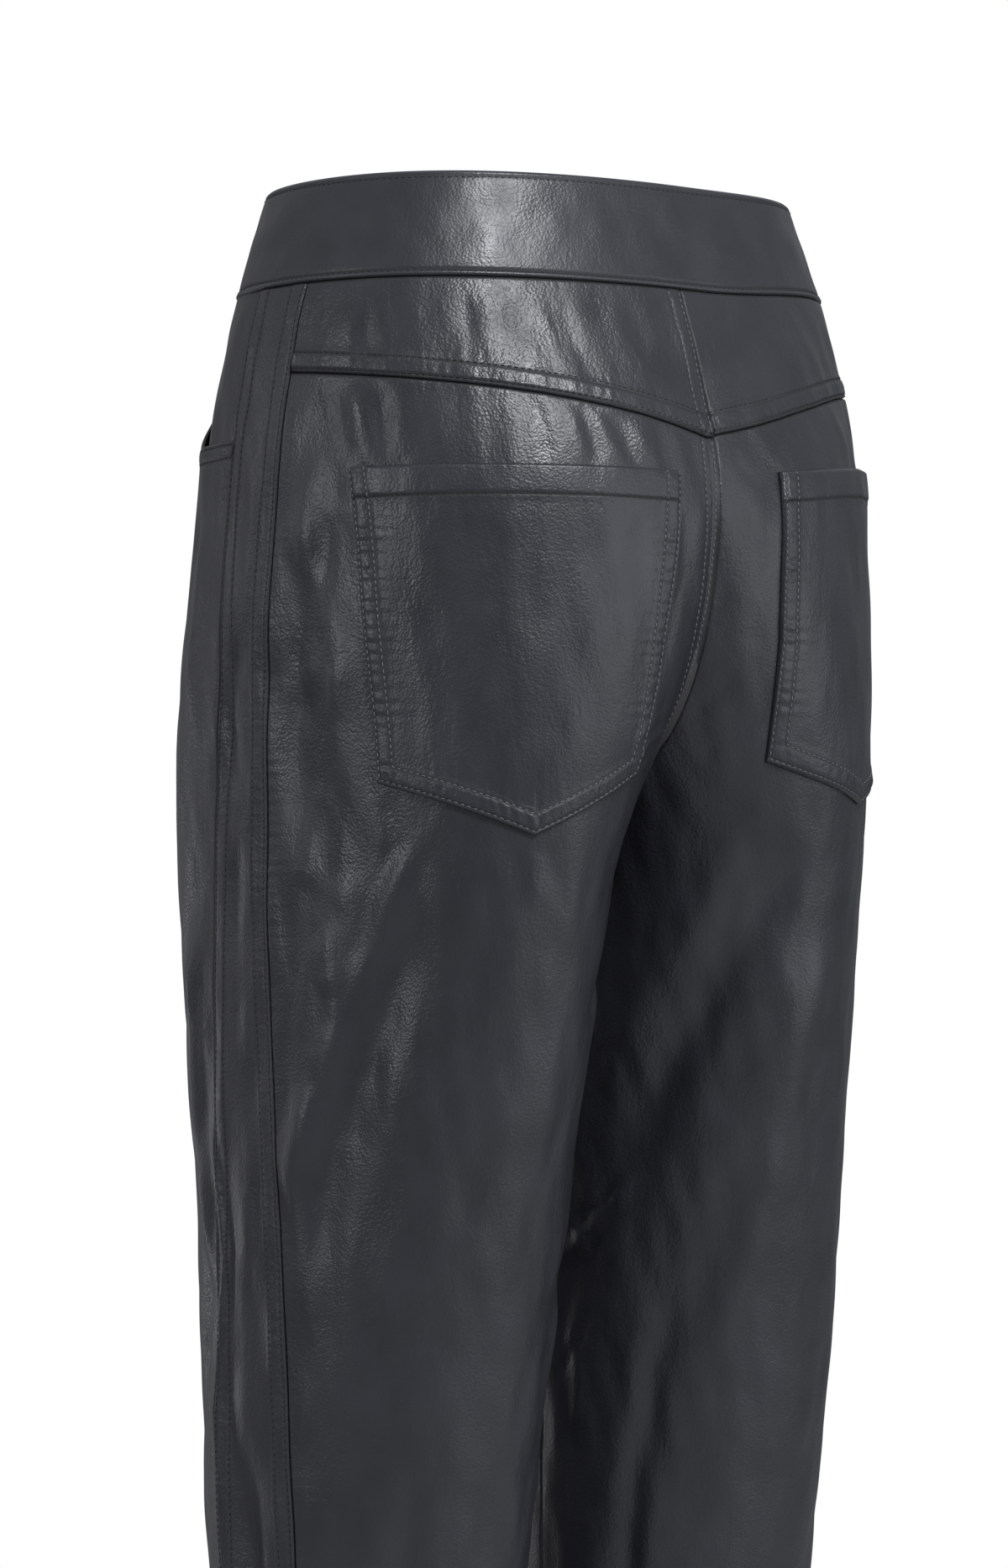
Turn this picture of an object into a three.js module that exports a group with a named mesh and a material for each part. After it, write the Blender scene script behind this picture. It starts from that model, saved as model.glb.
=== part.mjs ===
// Leather trousers with a high waist, back yoke, side strips and straight tapered legs.
// They stand filled out as they are worn, hollow, with the waist and both hems open.
//
// Millimetres. X runs to the wearer's left, the back faces +Y, Z is up.
// The origin is the middle of the waist opening, level with the top edge of the waistband.
//
// The left half of the garment is one rounded section at each height. An angle on it is 0 at
// the wearer's left side, grows to about 90 at the centre back and falls to about -90 at the
// centre front. Below the crotch the section closes round one leg, at the inseam.
// The right half is the left half seen in a mirror, with folds and pocket places of its own,
// and its hip is a little higher, as when the wearer's weight is on the right leg.

import * as THREE from 'three';

// Cloth and seams.
const wall = 1.2;
const bandWall = 2.4;
const hemWall = 2.4;
const seamGap = 0.3;
const halfGap = seamGap / 2;

// Heights, measured down from the top edge of the waistband.
const bandBottom = -50.5;
const scoopBottom = -120;
const legTop = -345;
const hemTurn = -970;
const hemEdge = -1000;
const hemTaper = 6;

// The back yoke seam falls from the outseam to a point at the centre back.
const yokeAtSide = -92;
const yokeSlope = 20;
const yokePoint = 9;
const yokeLevel = -100;

// Closing of the waistband: the right end laps over the left end at the centre front.
const lapOver = 5;
const lapUnder = 32;
const lapShift = 22;
const lapClear = 4;

// The trouser fly, behind the two front edges.
const flyShieldRows = 13;
const flyShieldRight = -19;
const flyShieldLeft = 15;
const zipRows = 11;
const zipHalfWidth = 11;
const zipWall = 1.2;
const buttonSides = 24;

// The button's radius at each height, from its foot round the rim to its dished middle.
const buttonProfile = [
  [0, 0],
  [7, 0],
  [8.5, 1.3],
  [7.7, 2.7],
  [6.3, 3],
  [0, 2.4],
];

// Front pockets: a scooped mouth in the front panel over a facing. It is at its full depth from
// scoopFull of its width on.
const scoopStart = -58;
const facingUnderlap = 22;
const facingGap = 0.9;
const mouthGape = 5;
const mouthGapeDepth = 45;
const scoopFull = 0.65;

// Back pockets stand off the panel at the mouth and lie on it lower down.
const pocketWall = 1.2;
const pocketGape = 3.6;
const pocketGapeDepth = 60;

const degree = Math.PI / 180;

// Where the centre front, the inseam and the centre seams lie, or are looked for.
const frontCentre = -90;
const inseamFrom = 150;
const inseamTo = 200;
const centreFrom = 60;
const crotchAbove = -260;
const crotchBelow = -330;
const searchSteps = 40;
const slopeStep = 0.5;

// Half-section of the garment at a row of heights.
// axisX, the middle of the section; outer, front and back, how far it reaches; sideY, where the
// side lies fore and aft; square, how square it is; shear, how far it leans inward at the back;
// outseam and sideSeam, the angles of the two seams of the side strip.
const sectionColumns = ['z', 'axisX', 'outer', 'front', 'back', 'sideY', 'square', 'shear', 'outseam', 'sideSeam'];
const sectionRows = [
  [-1000, 86, 140, -66, 40, -8, 0, 0, 32, -15],
  [-800, 86, 147, -79, 46, -9, 0, 0, 28, -12],
  [-600, 86, 157, -95, 76, -8, 0, 0, 20, -13],
  [-450, 85, 159, -98, 103, -4, 0.005, -4, 10.5, -15],
  [-380, 84, 159, -100, 116, -4, 0.01, -8, 7, -14.5],
  [-312, 82, 159, -103, 128, -4, 0.015, -10, 5.5, -12.5],
  [-260, 71, 160, -106, 137.5, -4, 0.015, -10, 5.8, -10],
  [-200, 52, 162, -107, 141.5, -2, 0.015, -8, 6.2, -8.5],
  [-150, 35, 160, -107, 140, 0, 0.015, -4, 7, -9.5],
  [-100, 17, 158, -103, 128, 1, 0.015, -1, 9, -7],
  [-50, 0, 149.5, -88.5, 111.5, 1, 0.026, 0, 11.8, -6],
  [0, 0, 132.5, -84, 99, 0, 0.028, 0, 13, -6],
  [10, 0, 129.5, -83, 97, 0, 0.028, 0, 13, -6],
];

// How far the right hip is raised at each height, at the side of the body.
const riseColumns = ['z', 'rise'];
const riseRows = [
  [-560, 0],
  [-470, 1.5],
  [-330, 8],
  [-200, 9.5],
  [-100, 9.5],
  [-50, 7.5],
  [0, 3],
  [10, 2],
];
const riseFrom = 15;
const riseFull = 125;

// Angles of the back pockets' outer edge, point and inner edge, on each side.
const pocketColumns = ['z', 'leftOuter', 'leftTip', 'leftInner', 'rightOuter', 'rightTip', 'rightInner'];
const pocketRows = [
  [-345, 38, 75, 116, 33, 72, 118],
  [-278, 33.5, 73.5, 107, 28, 69, 109],
  [-215, 29.5, 72, 99, 23.5, 65, 96],
  [-138, 24.8, 68, 92.8, 18, 61, 85],
  [-85, 23, 66, 90, 17, 59, 82],
];

// Below the inner corner, the pocket's row falls to the crotch within this share of the way.
const bottomEdgeRuns = 0.5;

// Heights of a back pocket's mouth, and of its bottom edge at the outer corner, point and inner
// corner, before the hip is raised.
const pocketHeight = {
  left: { mouth: -138.5, outer: -282, tip: -306.5, inner: -277 },
  right: { mouth: -136, outer: -271, tip: -293.5, inner: -269.5 },
};

// Folds of the leather. side is 1 for the left, -1 for the right and 0 for both.
// Each runs from (angle1, z1) past (angle2, z2) to (angle3, z3), is width wide from its middle
// to where it has nearly gone, and stands out by depth, or sinks in where depth is negative.
const foldColumns = ['side', 'angle1', 'z1', 'angle2', 'z2', 'angle3', 'z3', 'width', 'depth'];
const foldRows = [
  [1, 22, -150, 12, -230, 20, -330, 16, -3],
  [1, 20, -330, 26, -400, 15, -470, 15, 3.5],
  [1, 48, -330, 34, -420, 22, -520, 20, -3.5],
  [1, -24, -330, -30, -420, -18, -520, 14, 3.5],
  [1, -18, -520, -8, -640, -14, -800, 18, 3],
  [1, -2, -560, 4, -680, -4, -820, 17, -3],
  [1, 150, -320, 132, -360, 110, -390, 12, -3],
  [1, 158, -400, 140, -470, 128, -560, 18, 3],
  [1, 128, -480, 150, -560, 160, -650, 18, -3.5],
  [1, 60, -560, 66, -700, 58, -860, 26, -3],
  [1, 30, -620, 40, -740, 34, -880, 20, 3],
  [1, 100, -700, 92, -800, 104, -900, 22, 3],
  [-1, 98, -300, 126, -372, 152, -470, 24, -3.5],
  [-1, 84, -350, 104, -450, 118, -560, 24, 3],
  [-1, 20, -160, 12, -240, 18, -330, 16, -3],
  [-1, 132, -500, 142, -600, 150, -720, 16, -3],
  [-1, 24, -560, 30, -700, 22, -860, 22, -3],
  [-1, 64, -680, 72, -800, 60, -900, 24, 3],
  [0, -150, -330, -128, -300, -100, -290, 13, -3.5],
  [0, -152, -370, -120, -350, -84, -345, 14, 3],
  [0, -62, -240, -84, -280, -108, -300, 14, -3],
  [0, -44, -380, -58, -480, -50, -600, 24, -3],
  [0, -92, -430, -84, -560, -94, -700, 26, 3],
  [0, -60, -640, -70, -760, -58, -900, 24, 3],
  [0, -120, -560, -132, -680, -124, -820, 22, -3],
  [0, 60, -210, 64, -255, 60, -300, 26, 2],
];
const foldEndFade = 0.22;
const foldSharpness = 0.6;
const foldReach = 2.2;
const seamFade = 16;
const foldScale = 100;

function namedTable(columns, rows) {
  return rows.map((row) => Object.fromEntries(columns.map((name, i) => [name, row[i]])));
}

// A smooth curve through (x, y) pairs: the natural cubic spline.
function smoothCurve(xs, ys) {
  const last = xs.length - 1;
  const bend = new Array(last + 1).fill(0);
  const rest = new Array(last + 1).fill(0);
  for (let i = 1; i < last; i++) {
    const before = xs[i] - xs[i - 1];
    const both = xs[i + 1] - xs[i - 1];
    const share = before / both;
    const pivot = share * bend[i - 1] + 2;
    const turn = (ys[i + 1] - ys[i]) / (xs[i + 1] - xs[i]) - (ys[i] - ys[i - 1]) / before;
    bend[i] = (share - 1) / pivot;
    rest[i] = ((6 * turn) / both - share * rest[i - 1]) / pivot;
  }
  bend[last] = 0;
  for (let i = last - 1; i >= 0; i--) bend[i] = bend[i] * bend[i + 1] + rest[i];
  return (x) => {
    let i = 0;
    while (i < last - 1 && x > xs[i + 1]) i++;
    const width = xs[i + 1] - xs[i];
    const a = (xs[i + 1] - x) / width;
    const b = 1 - a;
    const curve = (a ** 3 - a) * bend[i] + (b ** 3 - b) * bend[i + 1];
    return a * ys[i] + b * ys[i + 1] + (curve * width * width) / 6;
  };
}

// Straight lines through (x, y) pairs, with x growing.
function brokenLine(xs, ys) {
  return (x) => {
    let i = 0;
    while (i < xs.length - 2 && x > xs[i + 1]) i++;
    const share = (x - xs[i]) / (xs[i + 1] - xs[i]);
    return ys[i] + (ys[i + 1] - ys[i]) * share;
  };
}

function tableCurves(columns, rows, makeCurve) {
  const table = namedTable(columns, rows);
  const heights = table.map((row) => row.z);
  const names = columns.filter((name) => name !== 'z');
  return Object.fromEntries(names.map((name) => [name, makeCurve(heights, table.map((row) => row[name]))]));
}

const section = tableCurves(sectionColumns, sectionRows, smoothCurve);
const { rise: hipRise } = tableCurves(riseColumns, riseRows, smoothCurve);
const pocketEdge = tableCurves(pocketColumns, pocketRows, brokenLine);
const folds = namedTable(foldColumns, foldRows);

const handOf = (side) => (side > 0 ? 'left' : 'right');
const mix = (a, b, share) => a + (b - a) * share;
const clamp = (x, low, high) => Math.min(Math.max(x, low), high);
function smoothStep(x, from, to) {
  const t = clamp((x - from) / (to - from), 0, 1);
  return t * t * (3 - 2 * t);
}

// A point of the unfolded outer surface of the left half.
function basePoint(angle, z) {
  const a = angle * degree;
  const square = section.square(z);
  const halfWidth = (section.outer(z) - section.axisX(z)) / (1 - square);
  const halfDepth = (section.back(z) - section.front(z)) / 2 / (1 - square);
  const middle = (section.back(z) + section.front(z)) / 2;
  const pull = (section.sideY(z) - middle) / 2;
  const x = section.axisX(z) + halfWidth * (Math.cos(a) - square * Math.cos(3 * a)) + section.shear(z) * Math.sin(a);
  const y = middle + pull + halfDepth * (Math.sin(a) + square * Math.sin(3 * a)) + pull * Math.cos(2 * a);
  return new THREE.Vector3(x, y, z);
}

function baseNormal(angle, z) {
  const round = basePoint(angle + slopeStep, z).sub(basePoint(angle - slopeStep, z));
  const up = basePoint(angle, z + slopeStep).sub(basePoint(angle, z - slopeStep));
  return round.cross(up).normalize();
}

// The angle at which the section reaches furthest towards the other leg.
function inseam(z) {
  let low = inseamFrom;
  let high = inseamTo;
  for (let i = 0; i < searchSteps; i++) {
    const third = (high - low) / 3;
    if (basePoint(low + third, z).x < basePoint(high - third, z).x) high -= third;
    else low += third;
  }
  return (low + high) / 2;
}

// The angle between from and to at which the section crosses a given x, on the front or back.
function angleAtX(x, z, from, to) {
  let near = from;
  let far = to;
  for (let i = 0; i < searchSteps; i++) {
    const half = (near + far) / 2;
    if (basePoint(half, z).x > x) near = half;
    else far = half;
  }
  return (near + far) / 2;
}

function angleForLength(length, angle, z) {
  const speed = basePoint(angle + slopeStep, z).distanceTo(basePoint(angle - slopeStep, z)) / (2 * slopeStep);
  return length / speed;
}

// Where the left half ends: at the centre back or front, or at the inseam below the crotch.
function backEnd(z) {
  const inner = inseam(z);
  if (basePoint(inner, z).x < halfGap) return angleAtX(halfGap, z, centreFrom, inner);
  return inner - angleForLength(halfGap, inner, z);
}
function frontEnd(z) {
  const inner = inseam(z) - 360;
  if (basePoint(inner, z).x < halfGap) return angleAtX(halfGap, z, -centreFrom, inner);
  return inner + angleForLength(halfGap, inner, z);
}

// The height at which the two halves part and the legs begin.
function findCrotch() {
  let above = crotchAbove;
  let below = crotchBelow;
  for (let i = 0; i < searchSteps; i++) {
    const half = (above + below) / 2;
    if (basePoint(inseam(half), half).x < halfGap) above = half;
    else below = half;
  }
  return (above + below) / 2;
}
const crotch = findCrotch();

// How far the folds push the leather out at a place, with none of it at the centre seams.
function foldHeight(side, angle, z, distanceToCentre) {
  let height = 0;
  for (const fold of folds) {
    if (fold.side !== 0 && fold.side !== side) continue;
    const path = [
      [fold.angle1, fold.z1],
      [fold.angle2, fold.z2],
      [fold.angle3, fold.z3],
    ].map(([pathAngle, pathZ]) => [pathAngle * degree * foldScale, pathZ]);
    const reach = fold.width * foldReach;
    if (z > Math.max(fold.z1, fold.z2, fold.z3) + reach) continue;
    if (z < Math.min(fold.z1, fold.z2, fold.z3) - reach) continue;
    const here = [angle * degree * foldScale, z];
    let best = Infinity;
    let along = 0;
    for (let part = 0; part < 2; part++) {
      const [from, to] = [path[part], path[part + 1]];
      const run = [to[0] - from[0], to[1] - from[1]];
      const squared = run[0] ** 2 + run[1] ** 2;
      const share = clamp(((here[0] - from[0]) * run[0] + (here[1] - from[1]) * run[1]) / squared, 0, 1);
      const away = Math.hypot(here[0] - from[0] - run[0] * share, here[1] - from[1] - run[1] * share);
      if (away < best) {
        best = away;
        along = (part + share) / 2;
      }
    }
    const ends = smoothStep(along, 0, foldEndFade) * smoothStep(1 - along, 0, foldEndFade);
    height += fold.depth * ends * Math.exp(-((best / (fold.width * foldSharpness)) ** 2));
  }
  return height * smoothStep(distanceToCentre, 0, seamFade);
}

// The height of a point of one half, with the right hip raised.
function wornHeight(side, x, z) {
  if (side > 0 || z < riseRows[0][0]) return z;
  return z + hipRise(z) * smoothStep(x, riseFrom, riseFull);
}

// A point of the worn surface, moved out along its normal by lift. Nothing crosses the middle.
function surfacePoint(side, angle, z, lift) {
  const base = basePoint(angle, z);
  const freeOfCentre = z > legTop ? base.x : seamFade;
  const out = foldHeight(side, angle, z, freeOfCentre) + lift;
  const point = base.addScaledVector(baseNormal(angle, z), out);
  point.x = Math.max(point.x, halfGap);
  point.z = wornHeight(side, base.x, z);
  return point;
}

// A closed body between an outer and an inner grid of points. Rows run down, columns run
// anticlockwise seen from above. pointAt(row, column, inside) gives each point.
function clothBody(name, rows, columns, pointAt, side, material) {
  const positions = [];
  const faces = [];
  const stride = columns + 1;
  const layer = (rows + 1) * stride;
  for (const inside of [false, true]) {
    for (let i = 0; i <= rows; i++) {
      for (let j = 0; j <= columns; j++) {
        const p = pointAt(i, j, inside);
        positions.push(side * p.x, p.y, p.z);
      }
    }
  }
  const outer = (i, j) => i * stride + j;
  const inner = (i, j) => layer + i * stride + j;
  const quad = (a, b, c, d) => {
    if (side > 0) faces.push(a, b, c, a, c, d);
    else faces.push(a, c, b, a, d, c);
  };
  for (let i = 0; i < rows; i++) {
    for (let j = 0; j < columns; j++) {
      quad(outer(i, j), outer(i + 1, j), outer(i + 1, j + 1), outer(i, j + 1));
      quad(inner(i, j), inner(i, j + 1), inner(i + 1, j + 1), inner(i + 1, j));
    }
  }
  for (let j = 0; j < columns; j++) {
    quad(outer(0, j), outer(0, j + 1), inner(0, j + 1), inner(0, j));
    quad(outer(rows, j), inner(rows, j), inner(rows, j + 1), outer(rows, j + 1));
  }
  for (let i = 0; i < rows; i++) {
    quad(outer(i, 0), inner(i, 0), inner(i + 1, 0), outer(i + 1, 0));
    quad(outer(i, columns), outer(i + 1, columns), inner(i + 1, columns), inner(i, columns));
  }
  const geometry = new THREE.BufferGeometry();
  geometry.setAttribute('position', new THREE.Float32BufferAttribute(positions, 3));
  geometry.setIndex(faces);
  geometry.computeVertexNormals();
  const mesh = new THREE.Mesh(geometry, material);
  mesh.name = name;
  return mesh;
}

const leather = (colour, roughness) => new THREE.MeshStandardMaterial({ color: colour, roughness, metalness: 0 });
const bodyLeather = leather(0x33363c, 0.42);
const trimLeather = leather(0x3a3d43, 0.42);
const insideLeather = leather(0x2a2b2f, 0.6);
const darkMetal = new THREE.MeshStandardMaterial({ color: 0x4a4c50, roughness: 0.3, metalness: 1 });

// Rows at the crotch crowd together, because the centre seams turn under fast there.
const crotchSteps = [25, 16, 9, 4, 1, 0];
const underCrotch = [12, 27];
const legRows = 22;

function legHeight(row) {
  const turned = legRows - 1;
  if (row < turned) return mix(legTop, hemTurn, row / turned);
  return row === turned ? hemTurn : hemEdge;
}

const skinLift = (z, inside) => {
  if (!inside) return 0;
  return -mix(wall, hemWall, smoothStep(-z, -hemTurn - hemTaper, -hemTurn));
};

// Columns of the back panel and yoke: outseam, pocket edge, pocket point, pocket edge, centre.
const backSpans = [2, 5, 3, 4];
const backColumns = backSpans.reduce((sum, n) => sum + n, 0);
const pocketFirstColumn = backSpans[0];
const pocketTipColumn = backSpans[0] + backSpans[1];
const pocketLastColumn = pocketTipColumn + backSpans[2];

// Columns follow the pocket at the hip and are evenly spaced on the leg.
const evenFrom = 300;
const evenBelow = 430;

function backAngle(side, column, z) {
  const hand = handOf(side);
  const first = section.outseam(z) + angleForLength(halfGap, section.outseam(z), z);
  const last = backEnd(z);
  const at = clamp(z, pocketRows[0][0], pocketRows[pocketRows.length - 1][0]);
  const stops = [
    first,
    pocketEdge[`${hand}Outer`](at),
    pocketEdge[`${hand}Tip`](at),
    pocketEdge[`${hand}Inner`](at),
    last,
  ];
  let span = 0;
  let before = 0;
  while (column > before + backSpans[span]) before += backSpans[span++];
  const hip = mix(stops[span], stops[span + 1], (column - before) / backSpans[span]);
  const even = mix(first, last, column / backColumns);
  return mix(hip, even, smoothStep(-z, evenFrom, evenBelow));
}

function yokeSeam(side, column) {
  const share = (backAngle(side, column, yokeLevel) - backAngle(side, 0, yokeLevel)) /
    (backAngle(side, backColumns, yokeLevel) - backAngle(side, 0, yokeLevel));
  return yokeAtSide - yokeSlope * share - yokePoint * share ** 4;
}

// Height of the row of the back panel that holds the bottom edge of the pocket.
function pocketBottom(side, column) {
  const corner = pocketHeight[handOf(side)];
  if (column <= pocketFirstColumn) return corner.outer;
  if (column >= pocketLastColumn) {
    const share = (column - pocketLastColumn) / (backColumns - pocketLastColumn);
    return mix(corner.inner, crotch + crotchSteps[0], smoothStep(share, 0, bottomEdgeRuns));
  }
  if (column <= pocketTipColumn) {
    return mix(corner.outer, corner.tip, (column - pocketFirstColumn) / backSpans[1]);
  }
  return mix(corner.tip, corner.inner, (column - pocketTipColumn) / backSpans[2]);
}

const mouthRow = 3;
const pocketRowsDown = 10;
const pocketBottomRow = mouthRow + pocketRowsDown;
const crotchRow = pocketBottomRow + crotchSteps.length - 1;
const legTopRow = crotchRow + underCrotch.length + 1;
const backRows = legTopRow + legRows;

function centreHeight(row) {
  if (row <= crotchRow) return crotch + crotchSteps[row - pocketBottomRow];
  if (row < legTopRow) return crotch - underCrotch[row - crotchRow - 1];
  return legTop;
}

function backHeight(side, row, column) {
  const top = yokeSeam(side, column) - halfGap;
  const { mouth } = pocketHeight[handOf(side)];
  const bottom = pocketBottom(side, column);
  if (row <= mouthRow) return mix(top, mouth, row / mouthRow);
  if (row <= pocketBottomRow) return mix(mouth, bottom, (row - mouthRow) / pocketRowsDown);
  if (row >= legTopRow) return legHeight(row - legTopRow);
  const even = mix(bottom, legTop, (row - pocketBottomRow) / (legTopRow - pocketBottomRow));
  const nearCentre = smoothStep(column, pocketLastColumn - 1, backColumns - 1);
  return mix(even, centreHeight(row), nearCentre);
}

function backPanel(side) {
  const pointAt = (row, column, inside) => {
    const z = backHeight(side, row, column);
    return surfacePoint(side, backAngle(side, column, z), z, skinLift(z, inside));
  };
  return clothBody(`back_panel_${handOf(side)}`, backRows, backColumns, pointAt, side, bodyLeather);
}

function yoke(side) {
  const rows = 3;
  const pointAt = (row, column, inside) => {
    const z = mix(bandBottom - halfGap, yokeSeam(side, column) + halfGap, row / rows);
    return surfacePoint(side, backAngle(side, column, z), z, skinLift(z, inside));
  };
  return clothBody(`yoke_${handOf(side)}`, rows, backColumns, pointAt, side, bodyLeather);
}

// The pocket takes the panel's own points between its edges and moves them out.
function backPocket(side) {
  const { mouth } = pocketHeight[handOf(side)];
  const columns = pocketLastColumn - pocketFirstColumn;
  const pointAt = (row, column, inside) => {
    const z = backHeight(side, row + mouthRow, column + pocketFirstColumn);
    const share = column / columns;
    const belly = Math.sin(share * Math.PI);
    const open = 1 - smoothStep(mouth - z, 0, pocketGapeDepth);
    const lift = seamGap + pocketGape * belly * open + (inside ? 0 : pocketWall);
    return surfacePoint(side, backAngle(side, column + pocketFirstColumn, z), z, lift);
  };
  return clothBody(`back_pocket_${handOf(side)}`, pocketRowsDown, columns, pointAt, side, trimLeather);
}

// The side strip runs from waistband to hem between the two side seams.
const stripTopRows = 3;
function sidePanel(side) {
  const columns = 3;
  const rows = stripTopRows + backRows;
  const pointAt = (row, column, inside) => {
    const z = row < stripTopRows
      ? mix(bandBottom - halfGap, yokeSeam(side, 0), row / stripTopRows)
      : backHeight(side, row - stripTopRows, 0);
    const first = section.sideSeam(z) + angleForLength(halfGap, section.sideSeam(z), z);
    const last = section.outseam(z) - angleForLength(halfGap, section.outseam(z), z);
    return surfacePoint(side, mix(first, last, column / columns), z, skinLift(z, inside));
  };
  return clothBody(`side_panel_${handOf(side)}`, rows, columns, pointAt, side, bodyLeather);
}

// The front panel: straight under the waistband, then scooped down to the side for the pocket.
const frontPlainColumns = 4;
const frontScoopColumns = 6;
const frontColumns = frontPlainColumns + frontScoopColumns;
const frontTopRows = 15;
const frontCrotchRow = frontTopRows + crotchSteps.length - 1;
const frontLegTopRow = frontCrotchRow + underCrotch.length + 1;
const frontRows = frontLegTopRow + legRows;

const frontEvenFrom = 180;
const frontEvenBelow = 400;

function frontAngle(column, z) {
  const first = frontEnd(z);
  const last = section.sideSeam(z) - angleForLength(halfGap, section.sideSeam(z), z);
  const even = mix(first, last, column / frontColumns);
  const hip = column < frontPlainColumns
    ? mix(first, scoopStart, column / frontPlainColumns)
    : mix(scoopStart, last, (column - frontPlainColumns) / frontScoopColumns);
  return mix(hip, even, smoothStep(-z, frontEvenFrom, frontEvenBelow));
}

function frontTop(column) {
  const share = clamp((column - frontPlainColumns) / frontScoopColumns, 0, 1);
  const down = clamp(share / scoopFull, 0, 1);
  return mix(bandBottom - halfGap, scoopBottom, Math.sin((down * Math.PI) / 2));
}

function frontHeight(row, column) {
  const top = frontTop(column);
  const aboveCrotch = crotch + crotchSteps[0];
  if (row <= frontTopRows) return mix(top, aboveCrotch, row / frontTopRows);
  if (row >= frontLegTopRow) return legHeight(row - frontLegTopRow);
  const even = mix(aboveCrotch, legTop, (row - frontTopRows) / (frontLegTopRow - frontTopRows));
  const atCentre = centreHeight(row - frontTopRows + pocketBottomRow);
  return mix(atCentre, even, smoothStep(column, 1, frontPlainColumns));
}

function frontPanel(side) {
  const pointAt = (row, column, inside) => {
    const z = frontHeight(row, column);
    const top = frontTop(column);
    const open = 1 - smoothStep(top - z, 0, mouthGapeDepth);
    const belly = Math.sin(clamp((column - frontPlainColumns) / frontScoopColumns, 0, 1) * Math.PI);
    const lift = skinLift(z, inside) + mouthGape * open * belly;
    return surfacePoint(side, frontAngle(column, z), z, lift);
  };
  return clothBody(`front_panel_${handOf(side)}`, frontRows, frontColumns, pointAt, side, bodyLeather);
}

// The hip facing shows in the scooped pocket mouth and runs on behind the front panel.
function pocketFacing(side) {
  const rows = 7;
  const columns = frontScoopColumns + 1;
  const pointAt = (row, column, inside) => {
    const z = mix(bandBottom - halfGap, scoopBottom - facingUnderlap, row / rows);
    const lift = -(wall + facingGap) - (inside ? wall : 0);
    return surfacePoint(side, frontAngle(column + frontPlainColumns - 1, z), z, lift);
  };
  return clothBody(`front_pocket_facing_${handOf(side)}`, rows, columns, pointAt, side, bodyLeather);
}

// A point anywhere round the waist: turn is the angle on the left half, and past the centre
// back or front it goes on round the right half.
function waistPoint(turn, z, lift) {
  const onRight = turn > 90 || turn < -90;
  const angle = turn > 90 ? 180 - turn : turn < -90 ? -180 - turn : turn;
  const base = basePoint(angle, z);
  const p = base.clone().addScaledVector(baseNormal(angle, z), lift);
  if (onRight) p.x = -p.x;
  p.z = wornHeight(onRight ? -1 : 1, base.x, z);
  return p;
}

// One strip, folded double, round the waist. Its left end runs on under its right end.
function waistband() {
  const rows = 4;
  const columns = 64;
  const perMillimetre = angleForLength(1, frontCentre, 0);
  const underEnd = frontCentre - lapUnder * perMillimetre;
  const overEnd = frontCentre + 360 + lapOver * perMillimetre;
  const lapStart = frontCentre + (lapOver + lapClear) * perMillimetre;
  const lapDone = lapStart + lapShift * perMillimetre;
  const pointAt = (row, column, inside) => {
    const turn = mix(underEnd, overEnd, column / columns);
    const z = mix(0, bandBottom + halfGap, row / rows);
    const under = 1 - smoothStep(turn, lapStart, lapDone);
    const lift = -(bandWall + seamGap) * under - (inside ? bandWall : 0);
    return waistPoint(turn, z, lift);
  };
  return clothBody('waistband', rows, columns, pointAt, 1, trimLeather);
}

// A point behind the two front panels, near the centre front, parallel to their first faces.
function behindFront(x, row, lift) {
  const side = x < 0 ? -1 : 1;
  const z = frontHeight(row, 0);
  const edge = surfacePoint(side, frontAngle(0, z), z, lift);
  const next = surfacePoint(side, frontAngle(1, z), z, lift);
  const reach = basePoint(frontAngle(1, z), z).x;
  const p = edge.lerp(next, (Math.abs(x) - halfGap) / (reach - halfGap));
  p.x *= side;
  return p;
}

// A strip behind the centre front, between two distances from the middle.
function centreFrontStrip(name, from, to, rows, outerLift, thickness, material) {
  const stops = [from, -halfGap, halfGap, to];
  const pointAt = (row, column, inside) =>
    behindFront(stops[column], row, outerLift - (inside ? thickness : 0));
  return clothBody(name, rows, stops.length - 1, pointAt, 1, material);
}

function waistButton() {
  const profile = buttonProfile.map(([radius, height]) => new THREE.Vector2(radius, height));
  const lathe = new THREE.LatheGeometry(profile, buttonSides);
  const mesh = new THREE.Mesh(lathe, darkMetal);
  mesh.name = 'waist_button';
  const z = bandBottom / 2;
  const seat = waistPoint(frontCentre, z, seamGap);
  const outward = baseNormal(frontCentre, z);
  mesh.position.copy(seat);
  mesh.quaternion.setFromUnitVectors(new THREE.Vector3(0, 1, 0), outward);
  return mesh;
}

const trousers = new THREE.Group();
trousers.add(waistband(), waistButton());
for (const side of [1, -1]) {
  trousers.add(yoke(side), backPanel(side), backPocket(side), sidePanel(side));
  trousers.add(frontPanel(side), pocketFacing(side));
}
const zipLift = -(wall + seamGap);
const shieldLift = zipLift - zipWall - seamGap;
trousers.add(centreFrontStrip('fly_zip', -zipHalfWidth, zipHalfWidth, zipRows, zipLift, zipWall, darkMetal));
trousers.add(
  centreFrontStrip('fly_shield', flyShieldRight, flyShieldLeft, flyShieldRows, shieldLift, wall, insideLeather),
);

export default trousers;
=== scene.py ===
# Leather trousers with a back yoke, side strips and patch pockets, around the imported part.
import math
import bpy
import numpy as np
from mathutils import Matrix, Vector
from mathutils.bvhtree import BVHTree
from mathutils.kdtree import KDTree


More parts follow.
